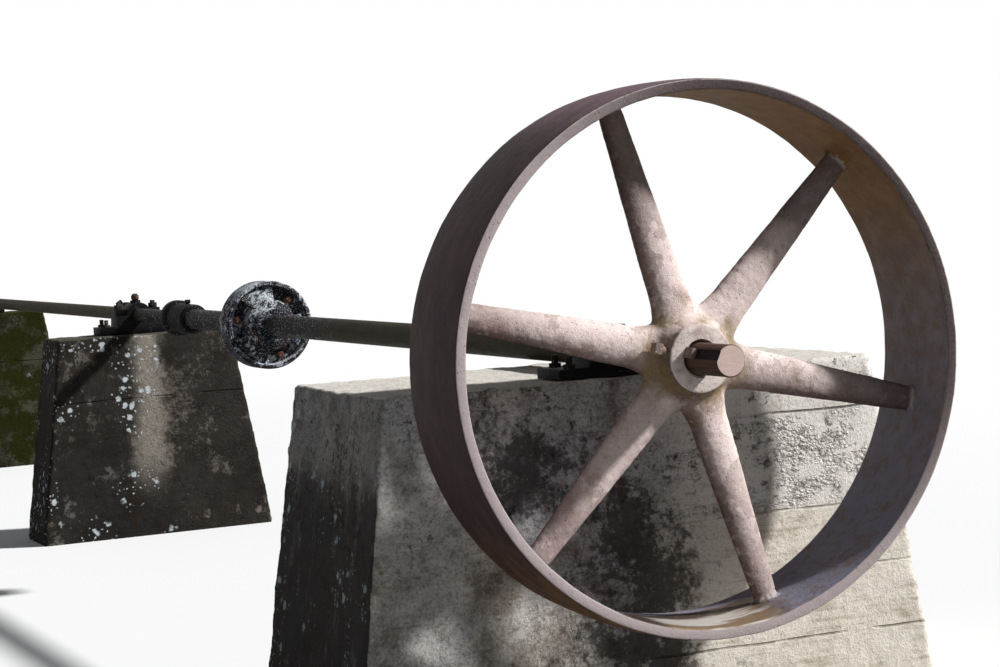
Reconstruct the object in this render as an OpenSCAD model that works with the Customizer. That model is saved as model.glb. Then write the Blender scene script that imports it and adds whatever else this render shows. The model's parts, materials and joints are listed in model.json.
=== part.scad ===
// Six-arm flat-belt pulley on a line shaft, carried by three concrete piers.
// The shaft runs along +Y, away from the pulley. X is across, Z is up.
// The origin lies on the floor, under the shaft, at the middle of the near pier.

/* [Shaft line] */
// Height of the shaft's axis over the floor
axis_h = 850; // [800:10:1000]
// Diameter of the main shaft
main_d = 71.4; // [60:0.1:76]
// Diameter of the turned-down tail shaft
tail_d = 50.8; // [38:0.1:56]
// Free length of shaft in front of the pulley's hub
stub_len = 135; // [80:5:220]
// Chamfer on the ends of the shafts
shaft_chamfer = 3; // [1:0.5:5]
// Radius by which the free ends are turned down, so that what they carry slides on
end_relief = 0.4; // [0.2:0.1:1]
// Length of shaft past the middle of the far bearing
far_stub = 150; // [100:5:250]
// Radial clearance of a journal in its bearing
running_gap = 0.05; // [0.02:0.01:0.09]
// Radial clearance of a piece that is fixed on the shaft
fixed_gap = 0.05; // [0.02:0.01:0.09]

/* [Pulley] */
// Outside diameter of the pulley, at the top of the crown
pulley_d = 1219; // [1100:1:1300]
// Width of the pulley's face
pulley_w = 275; // [220:1:300]
// Distance of the pulley's mid-plane from the middle of the near pier
pulley_off = 585; // [560:5:700]
// Fall of the crown from mid-face to the edges
crown = 5; // [2:0.5:10]
// Thickness of the rim at its edges
rim_edge_t = 26; // [18:1:34]
// Thickness of the rim at mid-face
rim_mid_t = 34; // [24:1:44]
// Rounding on the edges of the rim
rim_round = 5; // [2:1:8]
// Number of arms
arm_count = 6; // [4:1:8]
// Angle of the first arm over the horizontal
arm_phase = -14; // [-30:1:30]
// Width of an arm, measured at the hub
arm_hub_w = 100; // [80:1:110]
// Width of an arm, measured at the rim
arm_rim_w = 60; // [45:1:75]
// Thickness of an arm as a share of its width
arm_flat = 0.52; // [0.4:0.01:0.7]
// Spread of the fillet where an arm meets the rim
rim_fillet = 16; // [8:1:24]
// Spread of the fillet where an arm meets the hub
hub_fillet = 26; // [14:1:34]

/* [Pulley hub] */
// Length of the hub
hub_len = 132; // [110:1:160]
// Diameter of the bosses at the hub's two faces
boss_d = 156; // [140:1:170]
// Diameter of the hub where the arms leave it
hub_d = 214; // [190:1:230]
// Diameter of the countersunk mouth of the bore
mouth_d = 86; // [80:1:100]
// Depth of the countersunk mouth
mouth_depth = 9; // [4:1:14]
// Rounding of the boss faces
boss_round = 7; // [3:1:10]

/* [Key and screws] */
// Width of the key
key_w = 22; // [16:1:24]
// Height of the key
key_h = 14; // [10:1:16]
// Depth of the keyway in the shaft
key_sink = 6; // [4:0.5:8]
// Angle of the key round the shaft
key_angle = 155; // [120:1:200]
// Length of key that stands out of the hub's front face
key_out = 28; // [10:1:60]
// Clearance round a key in its keyway
key_gap = 0.1; // [0.05:0.05:0.3]
// Diameter of the hub's set screw
set_screw_d = 19; // [12:1:22]
// Square head of the hub's set screw, across the flats
set_head = 24; // [22:1:30]
// Height of the set screw's head over its seat in the hub
set_head_h = 18; // [12:1:22]
// Turn of the set screw's head about its own axis, as it came when tightened
set_head_turn = 8; // [0:1:45]
// Distance of the set screw behind the hub's front face
set_screw_in = 20; // [16:1:24]
// Angle of the set screw round the hub
set_screw_angle = 164; // [160:1:168]

/* [Near pier] */
// Height of the shaft's axis over the near pier's top
near_rise = 48; // [46:1:70]
// Width of the near pier's top
near_top_w = 1240; // [1000:10:1400]
// Depth of the near pier's top, along the shaft
near_top_d = 630; // [400:10:640]
// Outward lean of the sides, per unit of height
side_batter = 0.145; // [0.05:0.005:0.2]
// Outward lean of the near pier's front and back, per unit of height
near_end_batter = 0.04; // [0:0.01:0.1]
// Height of the joint between the near pier's two pours
lift_h = 452; // [300:1:600]
// Width of the ledge at that joint
lift_ledge = 5; // [2:0.5:12]
// Bevel along the top edges of the piers
top_bevel = 12; // [4:1:30]
// Distance of the near bearing's middle from the front edge of the near pier's top
near_bearing_in = 77; // [76:1:130]

/* [Middle and far piers] */
// Distance of the middle pier from the near pier, along the shaft
middle_y = 4185; // [4000:5:4400]
// Distance of the far pier from the near pier, along the shaft
far_y = 7515; // [7300:5:7800]
// Height of the shaft's axis over the middle pier's top
middle_rise = 70; // [56:1:90]
// Height of the shaft's axis over the far pier's top
far_rise = 66; // [56:1:90]
// Width of the middle and far piers' tops
small_top_w = 690; // [560:10:800]
// Depth of the middle and far piers' tops
small_top_d = 260; // [200:5:360]
// Outward lean of the middle and far piers' fronts and backs
small_end_batter = 0.03; // [0:0.01:0.1]

/* [Near bearing] */
// Length of the near bearing's foot, across the shaft
near_foot_l = 372; // [340:1:420]
// Width of the near bearing's foot, along the shaft
near_foot_w = 126; // [120:1:140]
// Thickness of the near bearing's foot
near_foot_t = 25; // [20:1:34]
// Outside radius of the near bearing's body
near_body_r = 58; // [52:1:70]
// Height of the near bearing's oil boss over its body
near_oil_boss_h = 4; // [2:1:12]
// Height of the near bearing's oil cup, a flat lid
near_lid_h = 4; // [3:1:10]
// Length of the near bearing's body, along the shaft
near_body_w = 118; // [90:1:120]
// Distance of the near cap bolts from the shaft
near_cap_bolt_x = 86; // [80:1:94]
// Distance of the near foot bolts from the shaft, across
near_foot_bolt_x = 150; // [140:1:156]
// Half the spacing of the near foot bolts, along the shaft
near_foot_bolt_y = 40; // [32:1:44]

/* [Middle and far bearings] */
// Length of the small bearings' feet, across the shaft
small_foot_l = 320; // [290:1:360]
// Width of the small bearings' feet, along the shaft
small_foot_w = 112; // [104:1:124]
// Thickness of the small bearings' feet
small_foot_t = 30; // [22:1:36]
// Outside radius of the small bearings' bodies
small_body_r = 48; // [42:1:54]
// Height of the small bearings' oil bosses over their bodies
small_oil_boss_h = 8; // [2:1:12]
// Length of the small bearings' bodies, along the shaft
small_body_w = 100; // [80:1:104]
// Distance of the small cap bolts from the shaft
small_cap_bolt_x = 68; // [64:1:76]
// Distance of the small foot bolts from the shaft, across
small_foot_bolt_x = 130; // [120:1:136]

/* [Bearing fittings] */
// Thickness of the ears of a bearing cap
ear_t = 24; // [18:1:30]
// Diameter of the cap bolts
bolt_d = 19; // [14:1:22]
// Clearance round a bolt or a stud in its hole
bolt_gap = 0.5; // [0.3:0.1:1]
// Width of a cap bolt's nut across its flats
nut_w = 31; // [26:1:33]
// Height of a cap bolt's nut
nut_h = 18; // [12:1:22]
// Length of cap bolt over its nut
bolt_out = 10; // [4:1:18]
// Length of cap bolt left clear of the pier, under the bearing's base
bolt_foot = 6; // [4:1:12]
// Diameter of the foot studs
stud_d = 16; // [12:1:19]
// Width of a foot stud's nut across its flats
stud_nut_w = 27; // [24:1:30]
// Height of a foot stud's nut
stud_nut_h = 9; // [7:1:16]
// Length of foot stud over its nut
stud_out = 19; // [6:1:24]
// Depth of a foot stud in the pier
stud_sink = 120; // [60:5:200]
// Diameter of an oil hole
oil_hole_d = 10; // [6:1:12]
// Diameter of an oil cup
cup_d = 30; // [22:1:36]
// Height of an oil cup over its boss
cup_h = 26; // [18:1:34]

/* [Flange coupling] */
// Distance of the coupling's joint face behind the middle of the near pier
coupling_y = 2500; // [2300:5:2700]
// Outside diameter of the coupling
coupling_d = 290; // [260:1:310]
// Thickness of each coupling flange
flange_t = 24; // [18:1:30]
// Length of the shroud ring past each flange
shroud_h = 26; // [16:1:34]
// Thickness of the shroud ring
shroud_t = 16; // [10:1:22]
// Depth of the groove inside the shroud ring
groove_h = 14; // [6:1:14]
// Height of the coupling's cone over the shroud ring
cone_h = 20; // [12:1:26]
// Diameter of the coupling's hub at the flange
coupling_hub_d = 164; // [150:1:170]
// Diameter of the coupling's hub at its end
coupling_nose_d = 114; // [100:1:124]
// Length of each coupling half
coupling_len = 105; // [85:1:140]
// Number of coupling bolts, each in its own pocket
coupling_bolt_count = 3; // [3:1:4]
// Angle of the first coupling bolt round the shaft
coupling_phase = 48; // [0:1:119]
// Half the angle of a bolt pocket
pocket_half = 33; // [24:1:34]
// Diameter of the circle of coupling bolts
bolt_circle_d = 212; // [206:1:216]
// Diameter of a coupling bolt
flange_bolt_d = 16; // [10:1:16]
// Width across the flats of a coupling bolt's nut and head
flange_nut_w = 25; // [20:1:26]
// Height of a coupling bolt's nut and head
flange_nut_h = 13; // [8:1:16]

/* [Collars] */
// Distance of the reducing collar's flange in front of the middle pier
reducer_off = 640; // [560:5:760]
// Diameter of the reducing collar's sleeve
reducer_sleeve_d = 106; // [96:1:116]
// Length of the reducing collar's sleeve
reducer_sleeve_l = 190; // [120:1:240]
// Diameter of the reducing collar's flange
reducer_flange_d = 130; // [122:1:150]
// Thickness of the reducing collar's flange
reducer_flange_t = 50; // [36:1:60]
// Diameter of the thrust collar
thrust_d = 92; // [80:1:104]
// Width of the thrust collar
thrust_w = 46; // [36:1:56]
// Distance of the thrust collar behind the middle of the middle bearing
thrust_off = 138; // [80:1:160]
// Diameter of the collars' set screws
collar_screw_d = 13; // [8:1:16]
// Square head of a collar's set screw, across the flats
collar_head = 17; // [17:1:22]

/* [Hidden] */
eps = 0.01;
near_pier_h = axis_h - near_rise;
middle_pier_h = axis_h - middle_rise;
far_pier_h = axis_h - far_rise;
pulley_y = -pulley_off;
hub_front_y = pulley_y - hub_len / 2;
shaft_front_y = hub_front_y - stub_len;
near_bearing_y = near_bearing_in - near_top_d / 2;
reducer_y = middle_y - reducer_off;
shaft_step_y = reducer_y;
tail_end_y = far_y + far_stub;
thrust_y = middle_y + thrust_off;
pulley_r = pulley_d / 2;
main_r = main_d / 2;
tail_r = tail_d / 2;
small_foot_bolt_y = small_foot_w / 2 - stud_nut_w / 2 - 5;

// Moves a piece drawn round +Z onto the shaft's axis, with its +Z towards the near end.
module on_shaft(y) {
    translate([0, y, axis_h]) rotate([90, 0, 0]) children();
}

// A round bar with both ends chamfered, from z = 0 up to len.
module bar(r, len, c) {
    rotate_extrude($fn = 96)
        polygon([[0, 0], [r - c, 0], [r, c], [r, len - c], [r - c, len], [0, len]]);
}

// A battered block, its bottom on the floor and its long top edges bevelled.
module battered_block(w, d, h, side, front) {
    intersection() {
        rotate([90, 0, 0])
            linear_extrude(height = d + 2 * front * h + 2, center = true)
                polygon([[-w / 2 - side * h, 0], [w / 2 + side * h, 0],
                         [w / 2 + side * top_bevel, h - top_bevel], [w / 2 - top_bevel, h],
                         [-w / 2 + top_bevel, h], [-w / 2 - side * top_bevel, h - top_bevel]]);
        rotate([90, 0, 90])
            linear_extrude(height = w + 2 * side * h + 2, center = true)
                polygon([[-d / 2 - front * h, 0], [d / 2 + front * h, 0],
                         [d / 2 + front * top_bevel, h - top_bevel], [d / 2 - top_bevel, h],
                         [-d / 2 + top_bevel, h], [-d / 2 - front * top_bevel, h - top_bevel]]);
    }
}

// The four places of a bearing's foot studs.
module at_foot_studs(y, bx, by) {
    for (sx = [-1, 1]) for (sy = [-1, 1]) translate([sx * bx, y + sy * by, 0]) children();
}

// Holes for the foot studs, sunk into a pier's top.
module stud_sockets(y, h, bx, by) {
    at_foot_studs(y, bx, by)
        translate([0, 0, h - stud_sink])
            cylinder(r = stud_d / 2 + bolt_gap, h = stud_sink + 1, $fn = 32);
}

// A pier with the sockets of its bearing's studs.
module pier(y, w, d, h, front, bearing_y, bx, by) {
    difference() {
        translate([0, y, 0]) battered_block(w, d, h, side_batter, front);
        stud_sockets(bearing_y, h, bx, by);
    }
}

// The lower pour of a pier in two lifts, a ledge wider all round than the upper one.
module lower_pour(w, d, h, side, front) {
    intersection() {
        battered_block(w + 2 * lift_ledge, d + 2 * lift_ledge, h, side, front);
        translate([-w, -d, 0]) cube([2 * w, 2 * d, lift_h]);
    }
}

// Lower half of a bearing: a foot on the pier and a seat up to the split line.
module bearing_base(y, pier_h, bore_r, foot_l, foot_w, foot_t, body_r, body_w, cap_x, bx, by) {
    rise = axis_h - pier_h;
    ear_x = cap_x + nut_w / 2 + 4;
    difference() {
        union() {
            translate([-foot_l / 2, y - foot_w / 2, pier_h]) cube([foot_l, foot_w, foot_t]);
            translate([0, y, pier_h]) rotate([90, 0, 0])
                linear_extrude(height = body_w, center = true)
                    polygon([[-ear_x - 6, 0], [ear_x + 6, 0], [ear_x, rise], [-ear_x, rise]]);
        }
        on_shaft(y + foot_w) cylinder(r = bore_r, h = 2 * foot_w, $fn = 96);
        at_foot_studs(y, bx, by)
            translate([0, 0, pier_h - 1]) cylinder(r = stud_d / 2 + bolt_gap, h = foot_t + 2, $fn = 32);
        for (sx = [-1, 1])
            translate([sx * cap_x, y, pier_h + bolt_foot])
                cylinder(r = bolt_d / 2 + bolt_gap, h = rise, $fn = 32);
    }
}

// Upper half of a bearing: a round back over the journal, two ears and an oil boss.
module bearing_cap(y, bore_r, body_r, body_w, cap_x, oil_boss_h) {
    ear_x = cap_x + nut_w / 2 + 4;
    difference() {
        union() {
            intersection() {
                on_shaft(y + body_w / 2) cylinder(r = body_r, h = body_w, $fn = 96);
                translate([-body_r, y - body_w, axis_h]) cube([2 * body_r, 2 * body_w, body_r]);
            }
            translate([-ear_x, y - body_w * 0.34, axis_h]) cube([2 * ear_x, body_w * 0.68, ear_t]);
            translate([0, y, axis_h + bore_r])
                cylinder(r = cup_d / 2 + 5, h = body_r - bore_r + oil_boss_h, $fn = 48);
        }
        on_shaft(y + body_w) cylinder(r = bore_r, h = 2 * body_w, $fn = 96);
        for (sx = [-1, 1])
            translate([sx * cap_x, y, axis_h - 1])
                cylinder(r = bolt_d / 2 + bolt_gap, h = ear_t + 2, $fn = 32);
        translate([0, y, axis_h]) cylinder(r = oil_hole_d / 2, h = 2 * body_r, $fn = 24);
    }
}

module foot_studs(y, pier_h, foot_t, bx, by) {
    at_foot_studs(y, bx, by) {
        translate([0, 0, pier_h - stud_sink])
            cylinder(r = stud_d / 2, h = stud_sink + foot_t + stud_nut_h + stud_out, $fn = 32);
        translate([0, 0, pier_h + foot_t]) cylinder(r = stud_nut_w / sqrt(3), h = stud_nut_h, $fn = 6);
    }
}

module cap_bolts(y, pier_h, cap_x) {
    for (sx = [-1, 1]) translate([sx * cap_x, y, 0]) {
        translate([0, 0, pier_h + bolt_foot])
            cylinder(r = bolt_d / 2, h = axis_h + ear_t - pier_h - bolt_foot + nut_h + bolt_out,
                     $fn = 32);
        translate([0, 0, axis_h + ear_t]) cylinder(r = nut_w / sqrt(3), h = nut_h, $fn = 6);
    }
}

// The oil cup of the middle and far bearings: a spigot in the oil hole and a domed lid.
module oil_cup(y) {
    spigot_r = oil_hole_d / 2 - 0.2;
    translate([0, y, axis_h + small_body_r + small_oil_boss_h])
        rotate_extrude($fn = 48)
            polygon([[0, -8], [spigot_r, -8], [spigot_r, 0], [cup_d / 2 - 4, 0], [cup_d / 2, 4],
                     [cup_d / 2, cup_h - 8], [cup_d / 2 - 2, cup_h - 7], [cup_d / 2 - 5, cup_h - 2],
                     [cup_d / 2 - 9, cup_h], [0, cup_h]]);
}

// Piers

module near_pier() {
    color("#8d8478") {
        pier(0, near_top_w, near_top_d, near_pier_h, near_end_batter,
             near_bearing_y, near_foot_bolt_x, near_foot_bolt_y);
        lower_pour(near_top_w, near_top_d, near_pier_h, side_batter, near_end_batter);
    }
}

module middle_pier() {
    color("#877c6b")
        pier(middle_y, small_top_w, small_top_d, middle_pier_h, small_end_batter,
             middle_y, small_foot_bolt_x, small_foot_bolt_y);
}

module far_pier() {
    color("#7c7a5e")
        pier(far_y, small_top_w, small_top_d, far_pier_h, small_end_batter,
             far_y, small_foot_bolt_x, small_foot_bolt_y);
}

// Bearings

module near_bearing_base() {
    color("#2b2725")
        bearing_base(near_bearing_y, near_pier_h, main_r + running_gap, near_foot_l, near_foot_w,
                     near_foot_t, near_body_r, near_body_w, near_cap_bolt_x, near_foot_bolt_x,
                     near_foot_bolt_y);
}

module near_bearing_cap() {
    color("#332c29")
        bearing_cap(near_bearing_y, main_r + running_gap, near_body_r, near_body_w, near_cap_bolt_x,
                    near_oil_boss_h);
}

module near_foot_studs() {
    color("#6b5a4e")
        foot_studs(near_bearing_y, near_pier_h, near_foot_t, near_foot_bolt_x, near_foot_bolt_y);
}

module near_cap_bolts() {
    color("#6b5a4e") cap_bolts(near_bearing_y, near_pier_h, near_cap_bolt_x);
}

// The near bearing's cup is low and flat, behind the pulley's arms.
module near_oil_cup() {
    lid_r = cup_d / 2;
    spigot_r = oil_hole_d / 2 - 0.2;
    color("#57504a")
        translate([0, near_bearing_y, axis_h + near_body_r + near_oil_boss_h])
            rotate_extrude($fn = 48)
                polygon([[0, -8], [spigot_r, -8], [spigot_r, 0], [lid_r, 0], [lid_r, near_lid_h - 1],
                         [lid_r - 1, near_lid_h], [0, near_lid_h]]);
}

module small_base(y, pier_h) {
    bearing_base(y, pier_h, tail_r + running_gap, small_foot_l, small_foot_w, small_foot_t,
                 small_body_r, small_body_w, small_cap_bolt_x, small_foot_bolt_x, small_foot_bolt_y);
}

module small_cap(y) {
    bearing_cap(y, tail_r + running_gap, small_body_r, small_body_w, small_cap_bolt_x,
                small_oil_boss_h);
}

module middle_bearing_base() {
    color("#2b2725") small_base(middle_y, middle_pier_h);
}

module middle_bearing_cap() {
    color("#332c29") small_cap(middle_y);
}

module middle_foot_studs() {
    color("#6b5a4e")
        foot_studs(middle_y, middle_pier_h, small_foot_t, small_foot_bolt_x, small_foot_bolt_y);
}

module middle_cap_bolts() {
    color("#6b5a4e") cap_bolts(middle_y, middle_pier_h, small_cap_bolt_x);
}

module middle_oil_cup() {
    color("#57504a") oil_cup(middle_y);
}

module far_bearing_base() {
    color("#2b2725") small_base(far_y, far_pier_h);
}

module far_bearing_cap() {
    color("#332c29") small_cap(far_y);
}

module far_foot_studs() {
    color("#6b5a4e")
        foot_studs(far_y, far_pier_h, small_foot_t, small_foot_bolt_x, small_foot_bolt_y);
}

module far_cap_bolts() {
    color("#6b5a4e") cap_bolts(far_y, far_pier_h, small_cap_bolt_x);
}

module far_oil_cup() {
    color("#57504a") oil_cup(far_y);
}

// Shafts

// A shaft up to z = len, its free end there turned down a little over free_len.
module shaft_bar(r, len, free_len) {
    free_r = r - end_relief;
    rotate_extrude($fn = 96)
        polygon([[0, 0], [r - shaft_chamfer, 0], [r, shaft_chamfer], [r, len - free_len],
                 [free_r, len - free_len], [free_r, len - shaft_chamfer],
                 [free_r - shaft_chamfer, len], [0, len]]);
}

module main_shaft() {
    len = coupling_y - shaft_front_y;
    key_back = -hub_front_y + shaft_front_y - hub_len - 10;
    color("#5a4a42")
        difference() {
            on_shaft(coupling_y) shaft_bar(main_r, len, stub_len - key_out - 2);
            on_shaft(shaft_front_y)
                rotate([0, 0, key_angle])
                    translate([main_r - key_sink, -key_w / 2 - key_gap, key_back])
                        cube([key_sink + 5, key_w + 2 * key_gap, -key_back + 1]);
        }
}

module shaft_key() {
    color("#6a5a50")
        on_shaft(hub_front_y + hub_len + 10 - key_gap)
            rotate([0, 0, key_angle])
                translate([main_r - key_sink, -key_w / 2, 0])
                    cube([key_h, key_w, hub_len + 10 - key_gap + key_out]);
}

module tail_shaft() {
    thick = shaft_step_y - coupling_y;
    thin = tail_end_y - shaft_step_y;
    free_r = tail_r - end_relief;
    free_len = far_stub - small_foot_w / 2 - 4;
    color("#554840")
        on_shaft(tail_end_y)
            rotate_extrude($fn = 96)
                polygon([[0, 0], [free_r - shaft_chamfer, 0], [free_r, shaft_chamfer],
                         [free_r, free_len], [tail_r, free_len],
                         [tail_r, thin], [main_r, thin], [main_r, thin + thick - shaft_chamfer],
                         [main_r - shaft_chamfer, thin + thick], [0, thin + thick]]);
}

// Pulley

function rim_outer(t) = pulley_r - crown * t * t;
function rim_inner(t) = rim_outer(t) - rim_mid_t + (rim_mid_t - rim_edge_t) * t * t;

// The rim's section: crowned outside, thicker at mid-face inside, its edges rounded.
module rim_section() {
    zc = pulley_w / 2 - rim_round;
    steps = [-1 : 0.25 : 1];
    polygon(concat(
        [for (t = steps) [rim_outer(t), t * zc]],
        [for (a = [20 : 20 : 80]) [rim_outer(1) - rim_round * (1 - cos(a)), zc + rim_round * sin(a)]],
        [for (a = [80 : -20 : 20]) [rim_inner(1) + rim_round * (1 - cos(a)), zc + rim_round * sin(a)]],
        [for (t = steps) [rim_inner(-t), -t * zc]],
        [for (a = [20 : 20 : 80]) [rim_inner(1) + rim_round * (1 - cos(a)), -zc - rim_round * sin(a)]],
        [for (a = [80 : -20 : 20]) [rim_outer(1) - rim_round * (1 - cos(a)), -zc - rim_round * sin(a)]]));
}

// The hub's section: two plain bosses that swell into the plane of the arms.
function hub_swell(z) = (hub_d - boss_d) / 2 * pow(cos(90 * z / (hub_len / 2 - boss_round)), 2);

module hub_section() {
    zc = hub_len / 2 - boss_round;
    polygon(concat(
        [[0, -hub_len / 2], [boss_d / 2 - boss_round, -hub_len / 2]],
        [for (a = [30, 60]) [boss_d / 2 - boss_round * (1 - sin(a)), -zc - boss_round * cos(a)]],
        [for (t = [-1 : 0.125 : 1]) [boss_d / 2 + hub_swell(t * zc), t * zc]],
        [for (a = [60, 30]) [boss_d / 2 - boss_round * (1 - sin(a)), zc + boss_round * cos(a)]],
        [[boss_d / 2 - boss_round, hub_len / 2], [0, hub_len / 2]]));
}

// One arm: an oval loft that tapers outwards and flares into the hub and the rim.
// Inside the hub it keeps to its own share of the circle, clear of its neighbours.
arm_in = boss_d / 2 - 6;
arm_out = pulley_r - rim_mid_t + 6;
arm_rings = 14;
arm_sides = 20;
function arm_r(i) = arm_in + (arm_out - arm_in) * (0.5 - 0.5 * cos(180 * i / arm_rings));
function flare(d, reach) = d > reach ? 0 : pow(1 - d / reach, 2);
function arm_half_w(r) =
    let (t = (r - hub_d / 2) / (arm_out - hub_d / 2))
    min(r * tan(180 / arm_count) - 2,
        (arm_hub_w + (arm_rim_w - arm_hub_w) * t) / 2
        + hub_fillet * flare(r - boss_d / 2 + 14, 3.4 * hub_fillet)
        + rim_fillet * flare(arm_out - r, 2.4 * rim_fillet));
function arm_half_t(r) =
    let (t = (r - hub_d / 2) / (arm_out - hub_d / 2))
    arm_flat * (arm_hub_w + (arm_rim_w - arm_hub_w) * t) / 2
    + rim_fillet * 0.9 * flare(arm_out - r, 2.4 * rim_fillet);

module arm() {
    n = arm_sides;
    points = [for (i = [0 : arm_rings]) for (k = [0 : n - 1])
        let (r = arm_r(i), a = 360 * k / n) [r, arm_half_w(r) * cos(a), arm_half_t(r) * sin(a)]];
    sides = [for (i = [0 : arm_rings - 1]) for (k = [0 : n - 1])
        let (a = i * n + k, b = i * n + (k + 1) % n) [a, a + n, b + n, b]];
    polyhedron(points, concat(sides,
        [[for (k = [0 : n - 1]) k]],
        [[for (k = [n - 1 : -1 : 0]) arm_rings * n + k]]));
}

module belt_pulley() {
    color("#7d6359")
        on_shaft(pulley_y)
            difference() {
                union() {
                    rotate_extrude($fn = 180) rim_section();
                    rotate_extrude($fn = 96) hub_section();
                    for (i = [0 : arm_count - 1]) rotate([0, 0, arm_phase + 360 * i / arm_count]) arm();
                }
                translate([0, 0, -hub_len]) cylinder(r = main_r + fixed_gap, h = 2 * hub_len, $fn = 96);
                for (s = [0, 1]) mirror([0, 0, s])
                    translate([0, 0, hub_len / 2 - mouth_depth])
                        cylinder(r1 = main_r + fixed_gap, r2 = mouth_d / 2 + eps, h = mouth_depth + eps,
                                 $fn = 96);
                rotate([0, 0, key_angle])
                    translate([main_r - 10, -key_w / 2 - key_gap, -hub_len])
                        cube([10 - key_sink + key_h + key_gap, key_w + 2 * key_gap, 2 * hub_len]);
                rotate([0, 0, set_screw_angle])
                    translate([main_r - 5, 0, hub_len / 2 - set_screw_in])
                        rotate([0, 90, 0]) cylinder(r = set_screw_d / 2 + bolt_gap, h = boss_d, $fn = 32);
            }
}

module hub_set_screw() {
    seat_r = boss_d / 2 + (hub_d - boss_d) / 4;
    turn = set_screw_angle - key_angle;
    foot_r = (main_r - key_sink + key_h) * cos(turn) + key_w / 2 * sin(abs(turn)) + key_gap;
    color("#6b5a4e")
        on_shaft(pulley_y)
            rotate([0, 0, set_screw_angle])
                translate([0, 0, hub_len / 2 - set_screw_in]) rotate([set_head_turn, 0, 0]) {
                    translate([foot_r, 0, 0]) rotate([0, 90, 0])
                        cylinder(r = set_screw_d / 2, h = seat_r - foot_r + 1, $fn = 32);
                    translate([seat_r, -set_head / 2, -set_head / 2]) cube([set_head_h, set_head, set_head]);
                }
}

// Flange coupling

module at_coupling_pockets() {
    for (i = [0 : coupling_bolt_count - 1])
        rotate([0, 0, coupling_phase + 360 * i / coupling_bolt_count]) children();
}

module at_coupling_bolts() {
    at_coupling_pockets() translate([bolt_circle_d / 2, 0, 0]) children();
}

// A bolt pocket: a wedge of the space between the hub and the shroud ring, down to the flange.
module bolt_pocket(hub_r, ring_r) {
    far = 2 * ring_r;
    translate([0, 0, flange_t])
        intersection() {
            difference() {
                cylinder(r = ring_r - 1, h = coupling_len, $fn = 96);
                translate([0, 0, -1]) cylinder(r = hub_r + 1, h = coupling_len + 2, $fn = 96);
            }
            linear_extrude(height = 2 * coupling_len, center = true)
                polygon([[0, 0], [far * cos(pocket_half), far * sin(pocket_half)], [2 * far, 0],
                         [far * cos(pocket_half), -far * sin(pocket_half)]]);
        }
}

// One half, its joint face at z = 0 and its hub towards +Z: a ring, a cone up to the hub, and a nose.
module coupling_half() {
    r = coupling_d / 2;
    hr = coupling_hub_d / 2;
    nr = coupling_nose_d / 2;
    ring_z = flange_t + shroud_h;
    cone_z = ring_z + cone_h;
    difference() {
        rotate_extrude($fn = 96)
            polygon([[main_r + fixed_gap, 0], [r - 2, 0], [r, 2], [r, ring_z - 4], [r - 4, ring_z],
                     [r - shroud_t + 3, ring_z], [r - shroud_t, ring_z - 3],
                     [r - shroud_t, ring_z - groove_h], [r - shroud_t - 5, ring_z - groove_h],
                     [hr + 8, cone_z - 12], [hr, cone_z - 4], [hr - 6, cone_z],
                     [nr + 8, cone_z + 2], [nr, cone_z + 8],
                     [nr, coupling_len - 4], [nr - 4, coupling_len],
                     [main_r + fixed_gap, coupling_len]]);
        at_coupling_pockets() bolt_pocket(hr, r - shroud_t);
        at_coupling_bolts()
            translate([0, 0, -1]) cylinder(r = flange_bolt_d / 2 + bolt_gap, h = flange_t + 2, $fn = 32);
    }
}

module coupling_near_half() {
    color("#4a4644") on_shaft(coupling_y) coupling_half();
}

module coupling_far_half() {
    color("#4a4644") on_shaft(coupling_y) mirror([0, 0, 1]) coupling_half();
}

module coupling_bolts() {
    color("#6b5a4e")
        on_shaft(coupling_y) at_coupling_bolts() {
            translate([0, 0, -flange_t - flange_nut_h])
                cylinder(r = flange_bolt_d / 2, h = 2 * (flange_t + flange_nut_h) + 5, $fn = 32);
            translate([0, 0, flange_t])
                cylinder(r = flange_nut_w / sqrt(3), h = flange_nut_h, $fn = 6);
            translate([0, 0, -flange_t - flange_nut_h])
                cylinder(r = flange_nut_w / sqrt(3), h = flange_nut_h, $fn = 6);
        }
}

// Collars

module screw_hole(r, z) {
    translate([r - 5, 0, z]) rotate([0, 90, 0])
        cylinder(r = collar_screw_d / 2 + bolt_gap, h = reducer_sleeve_d, $fn = 32);
}

// A square-headed screw that points at the axis, its tip on the shaft.
module collar_screw(tip_r, seat_r, z) {
    translate([tip_r, 0, z]) rotate([0, 90, 0])
        cylinder(r = collar_screw_d / 2, h = seat_r - tip_r + 1, $fn = 32);
    translate([seat_r, -collar_head / 2, z - collar_head / 2]) cube([13, collar_head, collar_head]);
}

module reducing_collar() {
    sr = reducer_sleeve_d / 2;
    fr = reducer_flange_d / 2;
    color("#2e2a29")
        on_shaft(reducer_y)
            difference() {
                translate([0, 0, -reducer_flange_t])
                    rotate_extrude($fn = 96)
                        polygon([[0, 0], [fr - 6, 0], [fr, 6], [fr, reducer_flange_t - 6],
                                 [fr - 6, reducer_flange_t], [sr + 6, reducer_flange_t + 2],
                                 [sr, reducer_flange_t + 10],
                                 [sr, reducer_flange_t + reducer_sleeve_l - 5],
                                 [sr - 5, reducer_flange_t + reducer_sleeve_l],
                                 [0, reducer_flange_t + reducer_sleeve_l]]);
                cylinder(r = main_r + fixed_gap, h = 2 * reducer_sleeve_l, $fn = 96);
                translate([0, 0, -2 * reducer_flange_t])
                    cylinder(r = tail_r + fixed_gap, h = 3 * reducer_flange_t, $fn = 96);
                rotate([0, 0, 90]) screw_hole(main_r, reducer_sleeve_l * 0.6);
            }
}

module reducing_collar_screw() {
    color("#6b5a4e")
        on_shaft(reducer_y) rotate([0, 0, 90])
            collar_screw(main_r + fixed_gap, reducer_sleeve_d / 2 + 3, reducer_sleeve_l * 0.6);
}

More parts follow.
